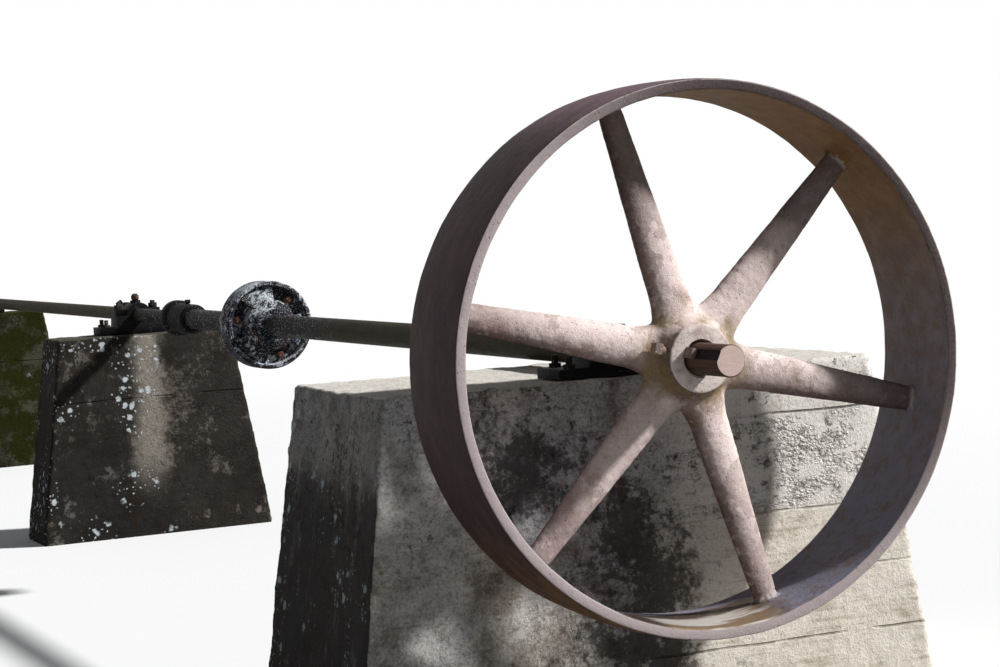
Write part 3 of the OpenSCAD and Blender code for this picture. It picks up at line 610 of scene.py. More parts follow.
def weathered_concrete(name, c, tone, seams, mould_from, spots=0.5, lift_z=None, mossy=0.0,
                       strip=0.0, lean=0.10, front_spots=1.0, mould_and_shadow_patches=()):
    """Board-marked concrete: form board grain and joints, pores, brown staining, mould and lichen,
    with painted sunlight, painted shade and painted shadow laid on.
    """
    g = Surface(name)
    face_x, _, face_z = g.split(g.normal)
    side = g.band(abs(face_x), 0.55, 0.80)
    left = g.band(face_x, -0.55, -0.80)
    up = g.band(face_z, 0.50, 0.80)
    wall = 1.0 - up
    front = wall * (1.0 - side)

    flat_grain = g.grain((6, 6, 90), 7, 0.66)
    upright_grain = g.grain((6, 75, 6), 7, 0.66)
    grain = g.either(side, flat_grain, upright_grain)
    broad = g.noise(2.1, 6, 0.62)
    cloud = g.noise(10, 8, 0.70)
    mottle = g.noise(33, 6, 0.74)
    speck = g.noise(140, 4, 0.75)

    # Bare concrete, paler and less stained on the right of the near pier, where sunlight is
    # painted on
    ragged_x = g.x + (g.noise(5, 5, 0.65) - 0.5) * 0.3
    painted_sun_patch = g.band(ragged_x, -0.02, 0.20) * (1.0 if lift_z else 0.2) * (1.0 - side * 0.85)
    dirt_outside_sun_patch = 1.0 - painted_sun_patch * 0.70
    colour = g.mottled(broad + painted_sun_patch * 0.24, 0.38, 0.62, c.grey, c.pale)
    colour = g.mix(g.band(cloud, 0.45, 0.66) * 0.60 * dirt_outside_sun_patch, colour, c.brown)
    colour = g.mix(g.band(mottle, 0.48, 0.66) * 0.42 * dirt_outside_sun_patch, colour, c.brown)
    colour = g.mix(g.band(mottle, 0.47, 0.34) * 0.35, colour, c.pale)
    colour = g.mix(g.band(grain, 0.50, 0.72) * 0.38 * dirt_outside_sun_patch, colour, c.brown)
    sun_patch_light = painted_sun_patch * wall * g.band(cloud, 0.72, 0.50)
    colour = g.mix(sun_patch_light * 0.92, colour, PAINTED_SUNLIGHT)

    # Joints between the form boards
    level = g.z + (g.noise(4, 2, 0.5) - 0.5) * 0.012
    seam = 0.0
    for place, strength, start in seams:
        line = g.band(abs(level - place), 0.0040, 0.0012)
        broken = g.band(g.noise(5 + 9 * place, 4, 0.6), 0.36, 0.54)
        broken = broken * (g.band(g.x, start, start + 0.2) + 0.12)
        seam = g.larger(seam, line * broken * strength)
    seam = seam * front
    colour = g.mix(seam * 0.85, colour, c.mould)

    # Stones laid bare where the skin of the upper pour is torn up, and its cavities
    upper = g.band(g.z, lift_z - 0.01, lift_z + 0.02) if lift_z else 0.45
    coarse = upper * wall
    shaken = g.warped(0.009, 110)
    stones = g.cells(1.0, vector=g.stretched((78, 78, 120), vector=shaken))
    gravel = g.cells(1.0, vector=g.stretched((170, 170, 240), vector=shaken))
    torn_up = g.grain((6, 6, 24), 5, 0.68) * 0.55 + g.noise(13, 5, 0.7) * 0.45
    torn_up = g.band(torn_up + g.band(g.x, -0.30, 0.25) * 0.12, 0.575, 0.675)
    torn_up = torn_up * coarse * g.band(g.z, 0.700, 0.645)
    gaps = g.larger(g.band(stones, 0.50, 0.68), g.band(gravel, 0.48, 0.66) * 0.7)
    colour = g.mix(gaps * torn_up * 0.60, colour, PORES)
    cavities = g.band(g.noise(38, 6, 0.78), 0.565, 0.610) * coarse
    cavities = cavities * g.band(g.noise(7, 4, 0.6), 0.46, 0.58)
    colour = g.mix(cavities * 0.85, colour, CAVITIES)
    # Painted highlights on the crowns of the bared gravel.
    crown_highlights = g.band(gravel, 0.38, 0.14) * torn_up
    colour = g.mix(crown_highlights * 0.60, colour, shade(c.pale, 1.10))

    # The lower pour: soaked patches, fewer in the painted sun patch, and cream there with painted
    # sunlight
    lower = 1.0 - upper
    soaked = lower * g.band(cloud, 0.36, 0.60) * 0.45
    colour = g.mix(soaked * dirt_outside_sun_patch, colour, SOAKED)
    lower_sun_patch = lower * painted_sun_patch
    colour = g.mix(lower_sun_patch * 0.50, colour, CREAM_AND_SUNLIGHT)
    streaky = g.band(flat_grain * 0.5 + cloud * 0.5, 0.49, 0.60) * lower_sun_patch
    colour = g.mix(streaky * 0.50, colour, STREAKS)

    # Black mould in torn patches, deeper in patches that also stand for cast shadow (painted
    # shadow) and towards the left, and on the damp side
    patch = g.noise(2.6, 6, 0.64, g.stretched((1, 1, 0.85), (0.7, 0.0, 0.35)))
    torn = patch * 0.57 + g.noise(47, 7, 0.80) * 0.43
    if lift_z:
        torn = torn - g.band(g.x, -0.40, -0.52) * 0.05
    for x, z, width, tall, weight in mould_and_shadow_patches:
        dark_patch = g.blotch(x, z, width, tall) * g.band(g.noise(9, 6, 0.7), 0.36, 0.58)
        torn = torn + dark_patch * weight
    # A painted streak of sunlight down the middle pier, where mould and lichen are also fewer.
    waved = g.x + g.noise(2.5, 3, 0.5) * 0.10 + (mottle - 0.5) * 0.10
    painted_sun_streak = g.band(abs(waved - 0.045), 0.085, 0.012) * g.band(g.z, 0.12, 0.36) * strip
    torn = torn - painted_sun_streak * 0.14 - g.x * lean
    mould = g.band(torn, mould_from, mould_from + 0.10) * (1.0 - up * 0.85)
    damp = left * (g.band(g.z, 0.68, 0.54) + 0.30)
    damp = damp * g.band(g.grain((8, 17, 6), 7, 0.72), 0.28, 0.50)
    mould = g.larger(mould, g.clamp(damp * 0.9))
    # Painted shade: the left side darker, most towards its foot.
    shaded = left * (g.band(g.z, 0.62, 0.50) + 0.30)
    colour = g.mix(shaded * 0.50, colour, c.mould)
    colour = g.mix(mould * 0.84, colour, c.mould)

    # Brown runs, the painted sun streak, the top with painted light and shade, and dust
    runs = g.band(g.grain((13, 13, 0.9), 5, 0.6), 0.52, 0.72) * wall
    runs = runs * (g.band(abs(g.x), 0.40, 0.10) * 0.5 + 0.12) * (1.0 - painted_sun_patch * 0.6)
    colour = g.mix(runs, colour, RUNS)
    colour = g.mix(painted_sun_streak * 0.78, colour, shade(c.pale, 1.6))
    # The top worn pale and painted lighter on the near pier, darker on the others: painted light
    # and shade.
    top_wear_and_light = 1.10 if lift_z else 0.34
    top = g.mottled(mottle, 0.46, 0.70, shade(c.pale, top_wear_and_light), shade(c.grey, top_wear_and_light))
    colour = g.mix(up * 0.85, colour, top)
    colour = g.mix(g.band(speck, 0.50, 0.62) * (0.46 - painted_sun_patch * 0.24), colour, c.brown)
    clear = 1.0 - mould * 0.80
    colour = g.mix(g.band(speck, 0.46, 0.34) * 0.40 * clear, colour, c.pale)
    colour = g.mix(1.0, colour, tone, "MULTIPLY")

    # Lichen in large and small spots, and moss
    ragged = g.warped(0.02, 60)
    near_spots = g.noise(4.5, 4, 0.6) - g.x * (0.5 * lean)
    wider = 0.10 * spots
    large = (g.band(g.cells(23, vector=ragged), 0.30, 0.19)
             * g.band(near_spots, 0.60 - wider, 0.65 - wider))
    small = (g.band(g.cells(60, vector=ragged), 0.24, 0.15)
             * g.band(near_spots, 0.58 - wider, 0.66 - wider))
    bare = g.larger(g.band(g.x, 0.04, 0.14) * strip, front * (1.0 - front_spots))
    spot = g.larger(large, small) * wall * (0.5 + 0.5 * spots) * (1.0 - bare)
    colour = g.mix(spot, colour, c.lichen)
    if mossy > 0:
        wider = 0.2 * mossy
        cover = g.band(g.noise(5, 7, 0.72) + up * 0.12, 0.60 - wider, 0.72 - wider)
        tufts = g.mix(g.noise(70, 4, 0.7), shade(c.moss, 0.5), shade(c.moss, 2.2))
        colour = g.mix(cover, colour, tufts)

    lumps = stones * -0.72 + gravel * -0.46 + 0.54
    relief = (grain * 0.11 + mottle * 0.42 + speck * 0.30 + lumps * torn_up - cavities * 0.45
              - seam * 0.6)
    return g.finish(colour, 0.93, g.bump(relief, 0.90, 0.009), specular=0.06)


# Mesh helpers

def select_only(obj):
    bpy.ops.object.select_all(action="DESELECT")
    obj.select_set(True)
    bpy.context.view_layer.objects.active = obj


@contextmanager
def editing(obj):
    """Edit mode on one object, with its whole mesh selected."""
    select_only(obj)
    bpy.ops.object.mode_set(mode="EDIT")
    bpy.ops.mesh.select_all(action="SELECT")
    yield
    bpy.ops.object.mode_set(mode="OBJECT")


def blank(primitive, name, **values):
    """Adds the primitive that a piece is worked from, with nothing else selected."""
    bpy.ops.object.select_all(action="DESELECT")
    getattr(bpy.ops.mesh, "primitive_" + primitive + "_add")(**values)
    obj = bpy.context.active_object
    obj.name = name
    return obj


def set_in_place(obj, place=None, turn=None):
    """Puts an object's place, turn and size into its mesh."""
    if place is not None:
        obj.location = place
    if turn is not None:
        obj.rotation_euler = turn
    select_only(obj)
    bpy.ops.object.transform_apply(location=True, rotation=True, scale=True)


def apply_modifier(obj, kind, name="step", **values):
    """Adds a modifier, sets its values and applies it."""
    select_only(obj)
    modifier = obj.modifiers.new(name, kind)
    for key, value in values.items():
        setattr(modifier, key, value)
    bpy.ops.object.modifier_apply(modifier=modifier.name)


def smooth(obj, degrees):
    """Shades an object smooth, but for the edges that turn more than an angle."""
    select_only(obj)
    bpy.ops.object.shade_smooth_by_angle(angle=math.radians(degrees))


def clean_copy(node, name):
    """A copy of a CAD node as one merged mesh, its flat faces joined again."""
    source = frame["nodes"][node]
    obj = source.copy()
    obj.data = source.data.copy()
    obj.name = name
    obj.parent = None
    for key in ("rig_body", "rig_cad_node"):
        if key in obj:
            del obj[key]
    bpy.context.scene.collection.objects.link(obj)
    with editing(obj):
        bpy.ops.mesh.remove_doubles(threshold=0.00002)
        bpy.ops.mesh.dissolve_limited(angle_limit=math.radians(0.5))
    return obj


def give(obj, material):
    obj.data.materials.clear()
    obj.data.materials.append(material)


def settle(obj, body, material, node):
    """Gives a finished piece its material and its body, and hides the node that it stands for."""
    give(obj, material)
    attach(obj, body)
    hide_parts(node)


def round_edges(nodes, width, body, material):
    """Stands in for sharp CAD castings with the same ones, their edges rounded."""
    for node in nodes:
        obj = clean_copy(node, node + "_casting")
        apply_modifier(obj, "BEVEL", width=width, segments=2, limit_method="ANGLE",
                       angle_limit=math.radians(32), use_clamp_overlap=True, harden_normals=False)
        smooth(obj, 40)
        settle(obj, body, material, node)


def loft(name, stations, sides, place, turn):
    """Draws a closed form along +Z from rings (height, half width, half depth), then turns it."""
    height, width, depth = stations[0]
    obj = blank("circle", name, vertices=sides, radius=1, fill_type="NGON",
                location=(0, 0, height))
    obj.scale = (width, depth, 1)
    set_in_place(obj)
    with editing(obj):
        for next_height, next_width, next_depth in stations[1:]:
            bpy.ops.mesh.extrude_region_move(
                TRANSFORM_OT_translate={"value": (0, 0, next_height - height)})
            bpy.ops.transform.resize(value=(next_width / width, next_depth / depth, 1),
                                     center_override=(0, 0, next_height))
            height, width, depth = next_height, next_width, next_depth
        bpy.ops.mesh.select_all(action="SELECT")
        bpy.ops.mesh.normals_make_consistent(inside=False)
    set_in_place(obj, place, turn)
    return obj


def turn_round(name, profile, sides, place, side=1):
    """Draws a round form along the shaft from heights and radii, towards one side."""
    return loft(name, [(z, r, r) for z, r in profile], sides, place, (side * math.pi / 2, 0, 0))


def join(pieces):
    """Makes one object of several."""
    select_only(pieces[0])
    for piece in pieces[1:]:
        piece.select_set(True)
    bpy.ops.object.join()
    return pieces[0]


def cut(obj, cutter, operation="DIFFERENCE"):
    """Cuts a closed form with another one, or welds them, and throws the cutter away."""
    apply_modifier(obj, "BOOLEAN", operation=operation, object=cutter, solver="MANIFOLD")
    bpy.data.objects.remove(cutter, do_unlink=True)


def weigh(obj, name, weights):
    """A vertex group from a weight for each vertex in turn."""
    group = obj.vertex_groups.new(name=name)
    for index, weight in enumerate(weights):
        if weight > 0:
            group.add([index], min(weight, 1.0), "REPLACE")


def ramp(value, low, high):
    """0 at low, 1 at high, straight between; low may be over high."""
    return max(0.0, min(1.0, (value - low) / (high - low)))


def faces_where(obj, test):
    """Selects the faces of a mesh in edit mode whose centre and normal pass the test."""
    bpy.ops.mesh.select_all(action="DESELECT")
    mesh = bmesh.from_edit_mesh(obj.data)
    for face in mesh.faces:
        face.select_set(test(face.calc_center_median(), face.normal))
    mesh.select_flush_mode()
    bmesh.update_edit_mesh(obj.data)


def edges_where(obj, test):
    """Selects the edges of a mesh in edit mode whose two ends pass the test."""
    bpy.ops.mesh.select_all(action="DESELECT")
    mesh = bmesh.from_edit_mesh(obj.data)
    mesh.select_mode = {"EDGE"}
    for edge in mesh.edges:
        edge.select_set(test(edge.verts[0].co, edge.verts[1].co))
    mesh.select_flush_mode()
    bmesh.update_edit_mesh(obj.data)


def roughen(obj, name, size, strength, depth, group="", contrast=1.3, brightness=1.0):
    """Displaces a surface along its normals by cloud noise, inwards only."""
    texture = bpy.data.textures.new(obj.name + "_" + name, "CLOUDS")
    texture.noise_scale = size
    texture.noise_depth = depth
    texture.contrast = contrast
    texture.intensity = brightness
    apply_modifier(obj, "DISPLACE", name=name, texture=texture, texture_coords="GLOBAL",
                   strength=strength, mid_level=0.0, vertex_group=group)


def chip_edges(obj):
    """Knocks the edges back by broken noise, where the surface turns quickly."""
    mesh = obj.data
    low = min(v.co.z for v in mesh.vertices)
    turned = {}
    for polygon in mesh.polygons:
        for index in polygon.vertices:
            turned.setdefault(index, []).append(polygon.normal)
    weights = [0.0] * len(mesh.vertices)
    for index, normals in turned.items():
        spread = max(1 - normal.dot(normals[0]) for normal in normals)
        if spread > SHARP_TURN and mesh.vertices[index].co.z > low + UNCHIPPED_FOOT:
            weights[index] = 1.0
    for share in (0.7, 0.4):
        wider = list(weights)
        for edge in mesh.edges:
            for one, other in (edge.vertices, reversed(edge.vertices)):
                wider[one] = max(wider[one], min(share, weights[other]))
        weights = wider
    weigh(obj, "edges", weights)
    roughen(obj, "chips", 0.055, -0.0055, 3, "edges", contrast=2.4, brightness=0.26)
    apply_modifier(obj, "SMOOTH", factor=0.5, iterations=1, vertex_group="edges")
    obj.vertex_groups.clear()


def battered_pier(node, c, lift_z=None, grid=None):
    """A pier with worn corners and a rough face, cut to the outline of its CAD node."""
    low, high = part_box(node)
    top = [v.co for v in frame["nodes"][node].data.vertices if v.co.z > high.z - LEVEL]
    top_low = Vector([min(p[i] for p in top) for i in range(3)])
    top_high = Vector([max(p[i] for p in top) for i in range(3)])
    middle = (top_low + top_high) / 2
    pivot = (middle.x, middle.y, high.z)
    ledge = c.ledge if lift_z else 0.0
    obj = blank("cube", node + "_concrete", size=1, location=(low + high) / 2)
    obj.scale = high - low
    set_in_place(obj)
    with editing(obj):
        faces_where(obj, lambda centre, normal: normal.z > 0.9)
        grow = [(top_high[i] - top_low[i] + 2 * PIER_BEVEL + 2 * ledge) / (high[i] - low[i])
                for i in (0, 1)]
        bpy.ops.transform.resize(value=(*grow, 1.0), center_override=pivot)
        if lift_z:
            for z in (lift_z, lift_z + LEDGE_RISE):
                bpy.ops.mesh.select_all(action="SELECT")
                bpy.ops.mesh.bisect(plane_co=(0, 0, z), plane_no=(0, 0, 1))
            faces_where(obj, lambda centre, normal: centre.z > lift_z + LEDGE_RISE + LEVEL)
            shrink = [1 - 2 * ledge / (top_high[i] - top_low[i]) for i in (0, 1)]
            bpy.ops.transform.resize(value=(*shrink, 1.0), center_override=pivot)
        edges_where(obj, lambda a, b: abs(a.z - b.z) > LEVEL)
        bpy.ops.mesh.bevel(offset=c.worn_edge, segments=3, profile=0.55)
        edges_where(obj, lambda a, b: min(a.z, b.z) > high.z - LEVEL)
        bpy.ops.mesh.bevel(offset=PIER_BEVEL * 0.8, segments=2, profile=0.5)
        bpy.ops.mesh.select_all(action="SELECT")
        bpy.ops.mesh.normals_make_consistent(inside=False)
    apply_modifier(obj, "REMESH", mode="VOXEL", voxel_size=grid or c.grid)
    roughen(obj, "boards", 0.30, -0.003, 1)
    roughen(obj, "fine", 0.024, -0.0022, 3)
    chip_edges(obj)
    for vertex in obj.data.vertices:
        if vertex.co.z < FLAT_FOOT:
            vertex.co.z = 0.0
    smooth(obj, 50)
    return obj


def aim(context, lamp, place, target):
    """Hangs a lamp in its place, turned towards a target."""
    obj = bpy.data.objects.new(lamp.name, lamp)
    obj.location = place
    obj.rotation_euler = (Vector(target) - Vector(place)).to_track_quat("-Z", "Y").to_euler()
    context.scene.collection.objects.link(obj)


# Operators

class STAGE_OT_camera(bpy.types.Operator):
    """Sets up the camera where the photograph was taken"""
    bl_idname = "line_shaft.camera"
    bl_label = "Camera"

    def execute(self, context):
        s = context.scene.shaft_camera
        forward = Vector((math.sin(s.yaw) * math.cos(s.pitch), math.cos(s.yaw) * math.cos(s.pitch),
                          math.sin(s.pitch)))
        right = Vector((math.cos(s.yaw), -math.sin(s.yaw), 0))
        up = right.cross(forward)
        leaning_right = right * math.cos(s.roll) + up * math.sin(s.roll)
        leaning_up = up * math.cos(s.roll) - right * math.sin(s.roll)
        data = bpy.data.cameras.new("camera")
        data.lens = s.lens
        data.sensor_width = 36
        data.clip_end = 200
        camera = bpy.data.objects.new("camera", data)
        turn = Matrix((leaning_right, leaning_up, -forward)).transposed()
        camera.matrix_world = Matrix.Translation(s.position) @ turn.to_4x4()
        context.scene.collection.objects.link(camera)
        context.scene.camera = camera
        return {"FINISHED"}


class STAGE_OT_studio(bpy.types.Operator):
    """Lays a pale floor and lights it softly"""
    bl_idname = "line_shaft.studio"
    bl_label = "Floor and lights"

    def execute(self, context):
        s = context.scene.shaft_light
        floor = blank("plane", "studio_floor", size=120, location=(0, 20, 0))
        set_in_place(floor)
        give(floor, self.pale_floor(s))
        context.scene.world = self.pale_sky(s)
        context.scene.view_settings.view_transform = "Standard"

        key = bpy.data.lights.new("key", "SUN")
        key.energy = s.key
        key.angle = s.key_angle
        aim(context, key, Vector(s.key_from) * 9, (0, 0, 0))
        fill = bpy.data.lights.new("fill", "AREA")
        fill.energy = s.fill_power
        fill.shape = "SQUARE"
        fill.size = 5
        aim(context, fill, (-6.5, -5.5, 4.0), (0, 1.0, 0.7))
        return {"FINISHED"}

    def pale_floor(self, s):
        """Pale under the object, where it keeps the shadows, and white away from it."""
        g = Surface("studio_floor")
        seen = g.seen()
        colour = g.mix(seen, shade(s.floor_colour, s.floor_bounce), s.floor_colour)
        past_end = g.larger(abs(g.y - LINE_MIDDLE), LINE_HALF) - LINE_HALF
        spread = g.add("ShaderNodeCombineXYZ", {"X": g.x, "Y": past_end})
        away = g.add("ShaderNodeVectorMath", {0: spread.outputs["Vector"]}, operation="LENGTH")
        fade = seen * g.band(away.outputs["Value"], 1.2, 5.5)
        glow = g.add("ShaderNodeEmission", {"Color": (1, 1, 1), "Strength": 1.0})
        blend = g.add("ShaderNodeMixShader", {0: fade, 1: g.bsdf.outputs["BSDF"],
                                              2: glow.outputs["Emission"]})
        g.feed(g.out.inputs["Surface"], blend.outputs["Shader"])
        return g.finish(colour, 0.9, specular=0.1)

    def pale_sky(self, s):
        """White where it is seen, and an even, weaker light on the object."""
        world = bpy.data.worlds.new("studio")
        world.use_nodes = True
        g = Graph(world.node_tree)
        light = g.add("ShaderNodeBackground", {"Color": (0.90, 0.95, 1.0), "Strength": s.ambient})
        white = g.add("ShaderNodeBackground", {"Color": (1, 1, 1), "Strength": 1.0})
        blend = g.add("ShaderNodeMixShader", {0: g.seen(), 1: light.outputs["Background"],
                                              2: white.outputs["Background"]})
        g.add("ShaderNodeOutputWorld", {"Surface": blend.outputs["Shader"]})
        return world


class PULLEY_OT_casting(bpy.types.Operator):
    """Models the pulley's rim, arms and hub as one rusty casting"""
    bl_idname = "line_shaft.pulley"
    bl_label = "Pulley"

    def execute(self, context):
        s = context.scene.shaft_pulley
        iron = context.scene.shaft_iron
        centre = Vector((0, PULLEY_Y, AXIS_Z))
        casting = self.spider(s, centre)
        cut(casting, self.rim(s, centre), "UNION")
        casting.name = "pulley_casting"
        smooth(casting, 38)
        settle(casting, SHAFT, cast_rust("pulley_rust", iron), "belt_pulley")
        dull = lichened_iron("fitting_rust", *PULLEY_FITTINGS, 0.60, iron)
        round_edges(("hub_set_screw", "shaft_key"), SMALL_EDGE, SHAFT, dull)
        return {"FINISHED"}

    def arm_stations(self, s):
        """Rings of one arm, from inside the hub to inside the rim."""
        start, end, hub = s.boss / 2 - ARM_ROOT, PULLEY_R - s.rim_middle, s.hub / 2
        flare = s.rim_fillet
        reaches = [start + (end - flare - start) * i / 12 for i in range(13)]
        reaches += [end - flare * (1 - math.sin(math.pi / 2 * i / 6)) for i in range(1, 7)]
        reaches.append(end + ARM_TIP)
        stations = []
        for r in reaches:
            half = (s.arm_at_hub + (s.arm_at_rim - s.arm_at_hub) * (r - hub) / (end - hub)) / 2
            inner = max(0.0, 1 - (r - start) / (3.4 * s.hub_fillet)) ** 2
            near = min(flare, max(0.0, r - end + flare))
            outer = flare - math.sqrt(flare ** 2 - near ** 2)
            width = half + s.hub_fillet * inner + outer
            stations.append((r, width, half * s.arm_flatness + outer))
        return stations

    def hub_profile(self, s):
        """Heights and radii of the hub, fuller at its middle, with rounded ends."""
        boss, half = s.boss / 2, s.hub_length / 2
        ends = half - HUB_ROUND
        profile = [(-half, boss - HUB_ROUND), (-ends - HUB_ROUND / 2, boss - 0.001)]
        for i in range(17):
            z = ends * (i / 8 - 1)
            fuller = (s.hub - s.boss) / 2 * math.cos(math.pi / 2 * z / ends) ** 2
            profile.append((z, boss + fuller))
        return profile + [(ends + HUB_ROUND / 2, boss - 0.001), (half, boss - HUB_ROUND)]

    def spider(self, s, centre):
        """The hub and its arms, grown together, with the bore and keyway cut through."""
        boss, half, bore = s.boss / 2, s.hub_length / 2, s.bore / 2
        pieces = [turn_round("hub", self.hub_profile(s), 64, centre)]
        for i in range(s.arms):
            angle = s.arm_phase + 2 * math.pi * i / s.arms
            turn = (0, math.pi / 2 - angle, 0)
            pieces.append(loft("arm", self.arm_stations(s), 24, centre, turn))
        spider = join(pieces)
        apply_modifier(spider, "REMESH", mode="VOXEL", voxel_size=s.grid)

        def near_hub(point):
            offset = point - centre
            reach = math.hypot(offset.x, offset.z)
            return (ramp(reach, boss + 0.001, boss + 0.012) * ramp(reach, 0.200, 0.135)
                    * ramp(abs(offset.y), half - 0.004, half - 0.018))

        weigh(spider, "fillet", [near_hub(v.co) for v in spider.data.vertices])
        apply_modifier(spider, "SMOOTH", factor=0.5, iterations=34, vertex_group="fillet")
        apply_modifier(spider, "SMOOTH", factor=0.5, iterations=2)
        spider.vertex_groups.clear()

        for side in (-1, 1):
            with editing(spider):
                bpy.ops.mesh.bisect(
                    plane_co=centre + Vector((0, side * (half - HUB_FACING), 0)),
                    plane_no=(0, side, 0), use_fill=True, clear_outer=True)
        cut(spider, turn_round("bore", [(-0.2, bore), (0.2, bore)], 96, centre))
        for side in (-1, 1):
            mouth = [(half - s.mouth_depth, bore), (half, s.mouth / 2), (half + 0.02, s.mouth / 2)]
            cut(spider, turn_round("mouth", mouth, 96, centre, side))
        cut(spider, self.keyway(centre))
        roughen(spider, "skin", 0.013, -0.0012, 3)
        roughen(spider, "lumps", 0.075, -0.0016, 1)
        reach = PULLEY_R - s.rim_middle
        weigh(spider, "collar", [ramp(math.hypot(v.co.x, v.co.z - AXIS_Z), reach - 0.022,
                                      reach - 0.006) for v in spider.data.vertices])
        roughen(spider, "collar", 0.008, -0.0045, 2, "collar")
        spider.vertex_groups.clear()
        return spider

    def keyway(self, centre):
        """A bar as wide as the key's slot, through the whole hub."""
        low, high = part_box("shaft_key")
        middle = (low + high) / 2
        angle = math.atan2(middle.z - AXIS_Z, middle.x)
        bar = blank("cube", "keyway", size=1, location=(0, 0, 0))
        bar.scale = (KEYWAY_BAR, 0.4, KEYWAY_WIDTH)
        set_in_place(bar)
        out = Vector((math.cos(angle), 0, math.sin(angle)))
        set_in_place(bar, centre + out * (KEYWAY_TOP - KEYWAY_BAR / 2), (0, -angle, 0))
        return bar

    def rim(self, s, centre):
        """The crowned rim, thicker at mid-face, with rounded edges and a cast skin."""
        rim = blank("cylinder", "rim", vertices=360, radius=PULLEY_R - 0.0003,
                    depth=s.face_width, end_fill_type="NOTHING")
        half = s.face_width / 2
        with editing(rim):
            edges_where(rim, lambda a, b: abs(a.z - b.z) > 0.01)
            bpy.ops.mesh.subdivide(number_cuts=RIM_RINGS - 1)
            for i in range(RIM_RINGS + 1):
                z = s.face_width * (i / RIM_RINGS - 0.5)
                edges_where(rim, lambda a, b: abs(a.z - z) < 0.001 and abs(b.z - z) < 0.001)
                shrink = 1 - s.crown * (z / half) ** 2 / PULLEY_R
                bpy.ops.transform.resize(value=(shrink, shrink, 1), center_override=(0, 0, z))
        weigh(rim, "thick", [(s.rim_middle + (s.rim_edge - s.rim_middle) * (v.co.z / half) ** 2)
                             / s.rim_middle for v in rim.data.vertices])
        apply_modifier(rim, "SOLIDIFY", thickness=s.rim_middle, offset=-1, vertex_group="thick",
                       use_even_offset=True)
        rim.vertex_groups.clear()
        apply_modifier(rim, "BEVEL", width=s.rim_round, segments=3, limit_method="ANGLE",
                       angle_limit=math.radians(60), use_clamp_overlap=False)
        set_in_place(rim, centre, (math.pi / 2, 0, 0))
        roughen(rim, "skin", 0.020, -0.0009, 3)
        roughen(rim, "lumps", 0.11, -0.0014, 1)
        return rim


class PIERS_OT_concrete(bpy.types.Operator):
    """Models the three piers in worn, board-marked concrete"""
    bl_idname = "line_shaft.piers"
    bl_label = "Concrete piers"

    def execute(self, context):
        # Seams are height, strength and where they start; mould_and_shadow_patches are place, half
        # sizes and weight
        c = context.scene.shaft_concrete
        # On the near pier, the mould patches in the middle and at the foot also stand for the
        # wheel's shadow: painted shadow.
        near = weathered_concrete(
            "near_concrete", c, (1.0, 1.0, 1.0),
            ((0.150, 1.0, -0.10), (0.304, 0.5, 0.15), (c.lift_z, 0.6, -0.05), (0.680, 0.8, 0.20)),
            0.515, lift_z=c.lift_z, front_spots=0.15,
            mould_and_shadow_patches=((-0.22, 0.60, 0.24, 0.15, 0.11), (-0.02, 0.33, 0.28, 0.26, 0.10),
                    (-0.10, 0.10, 0.42, 0.20, 0.08)))
        # The middle pier: darker all over and its mould patch on the left deeper, partly grime and
        # partly painted shade; its pale strip is a painted streak of sunlight.
        middle = weathered_concrete(
            "middle_concrete", c, (0.30, 0.288, 0.272), ((0.533, 0.9, -0.6),), 0.440, spots=1.0,
            strip=1.0, lean=0.0,
            mould_and_shadow_patches=((-0.26, 0.34, 0.34, 0.90, 0.34), (0.33, 0.26, 0.26, 0.42, 0.13),
                    (0.05, 0.02, 0.60, 0.24, 0.27)))
        far = weathered_concrete("far_concrete", c, (0.12, 0.12, 0.09), ((0.533, 0.8, -0.6),),
                                 0.48, mossy=0.95)
        for place, material, lift_z, grid in (("near", near, c.lift_z, None),
                                              ("middle", middle, None, 0.009),
                                              ("far", far, None, 0.010)):
            node = place + "_pier"
            pier = battered_pier(node, c, lift_z, grid)
            settle(pier, FOUNDATION, material, node)
        return {"FINISHED"}


class BEARINGS_OT_castings(bpy.types.Operator):
    """Rounds the edges of the bearings and blackens them with old grease"""
    bl_idname = "line_shaft.bearings"
    bl_label = "Bearings"

    def execute(self, context):
        iron = context.scene.shaft_iron
        black = greasy_iron("bearing_grease", iron)
        dull = lichened_iron("bolt_grease", *BEARING_BOLTS, 0.63, iron)
        for place in ("near_", "middle_", "far_"):
            round_edges((place + "bearing_base", place + "bearing_cap"), iron.soft_edge,
                        FOUNDATION, black)
            round_edges((place + "foot_studs", place + "cap_bolts", place + "oil_cup"), SMALL_EDGE,
                        FOUNDATION, dull)
        return {"FINISHED"}


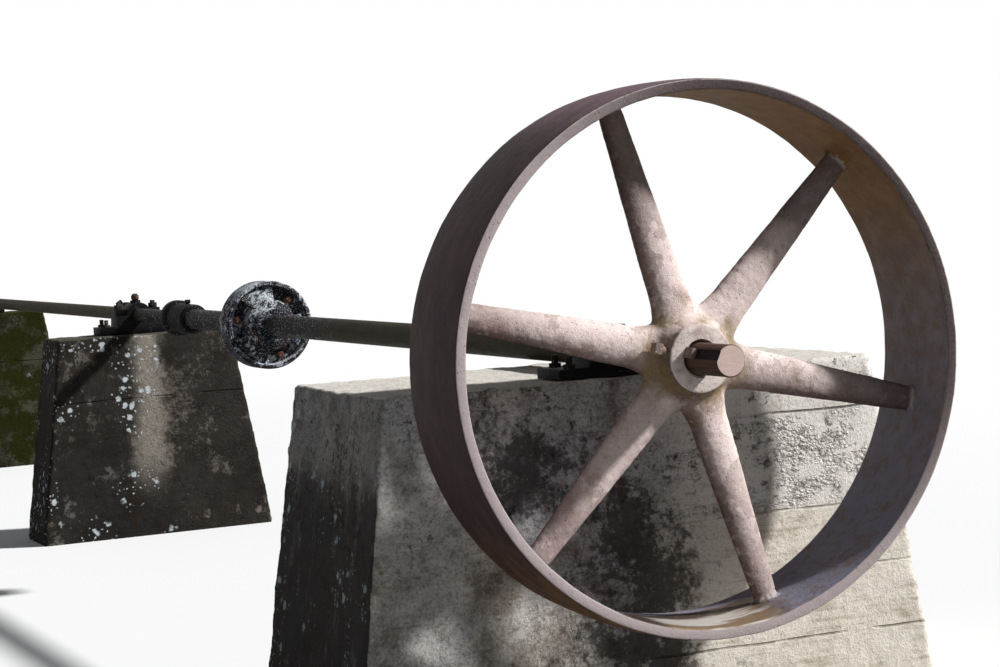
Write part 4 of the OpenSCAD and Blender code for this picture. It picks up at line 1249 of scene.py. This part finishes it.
class SHAFT_OT_line(bpy.types.Operator):
    """Finishes the two shafts, the coupling and the collars"""
    bl_idname = "line_shaft.shafts"
    bl_label = "Shafts, coupling and collars"

    def execute(self, context):
        iron = context.scene.shaft_iron
        brown = tuple(iron.shaft)
        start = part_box("main_shaft")[0].y
        give(frame["nodes"]["main_shaft"],
             old_steel("main_shaft_rust", brown, 1.85, 2.6, iron, end_y=start))
        give(frame["nodes"]["tail_shaft"], old_steel("tail_shaft_rust", brown, 2.3, 4.05, iron))
        speckled = lichened_iron("coupling_lichen", *COUPLING, 0.515, iron, upward=0.085,
                                 dusting=1.0)
        round_edges(("coupling_near_half", "coupling_far_half"), TURNED_EDGE, SHAFT, speckled)
        # The bolts in the coupling's pockets darkened: rust, and painted shade in the pockets.
        bolt_rust_and_shade = lichened_iron("coupling_bolt_rust_and_shade", *COUPLING_BOLTS, 0.60, iron)
        round_edges(("coupling_bolts",), SMALL_EDGE, SHAFT, bolt_rust_and_shade)
        black = lichened_iron("collar_black", *COLLARS, 0.62, iron, upward=0.03)
        round_edges(("reducing_collar", "thrust_collar"), TURNED_EDGE, SHAFT, black)
        round_edges(("reducing_collar_screw", "thrust_collar_screw"), SMALL_EDGE, SHAFT, black)
        return {"FINISHED"}


class LINE_SHAFT_PT_panel(bpy.types.Panel):
    """Lists the steps in the sidebar"""
    bl_idname = "LINE_SHAFT_PT_panel"
    bl_label = "Line Shaft"
    bl_space_type = "VIEW_3D"
    bl_region_type = "UI"
    bl_category = "Line Shaft"

    def draw(self, context):
        for operator in STEPS:
            self.layout.operator(operator.bl_idname)
        for name in SETTINGS:
            box = self.layout.box()
            group = getattr(context.scene, name)
            for key in group.bl_rna.properties.keys():
                if key not in ("rna_type", "name"):
                    box.prop(group, key)


STEPS = (STAGE_OT_camera, STAGE_OT_studio, PULLEY_OT_casting, PIERS_OT_concrete,
         BEARINGS_OT_castings, SHAFT_OT_line)
CLASSES = (*SETTINGS.values(), *STEPS, LINE_SHAFT_PT_panel)


def register():
    for cls in CLASSES:
        bpy.utils.register_class(cls)
    for name, cls in SETTINGS.items():
        setattr(bpy.types.Scene, name, bpy.props.PointerProperty(type=cls))


def unregister():
    for name in SETTINGS:
        delattr(bpy.types.Scene, name)
    for cls in reversed(CLASSES):
        bpy.utils.unregister_class(cls)


def main():
    register()
    for operator in STEPS:
        group, name = operator.bl_idname.split(".")
        getattr(getattr(bpy.ops, group), name)()


if __name__ == "__main__":
    main()
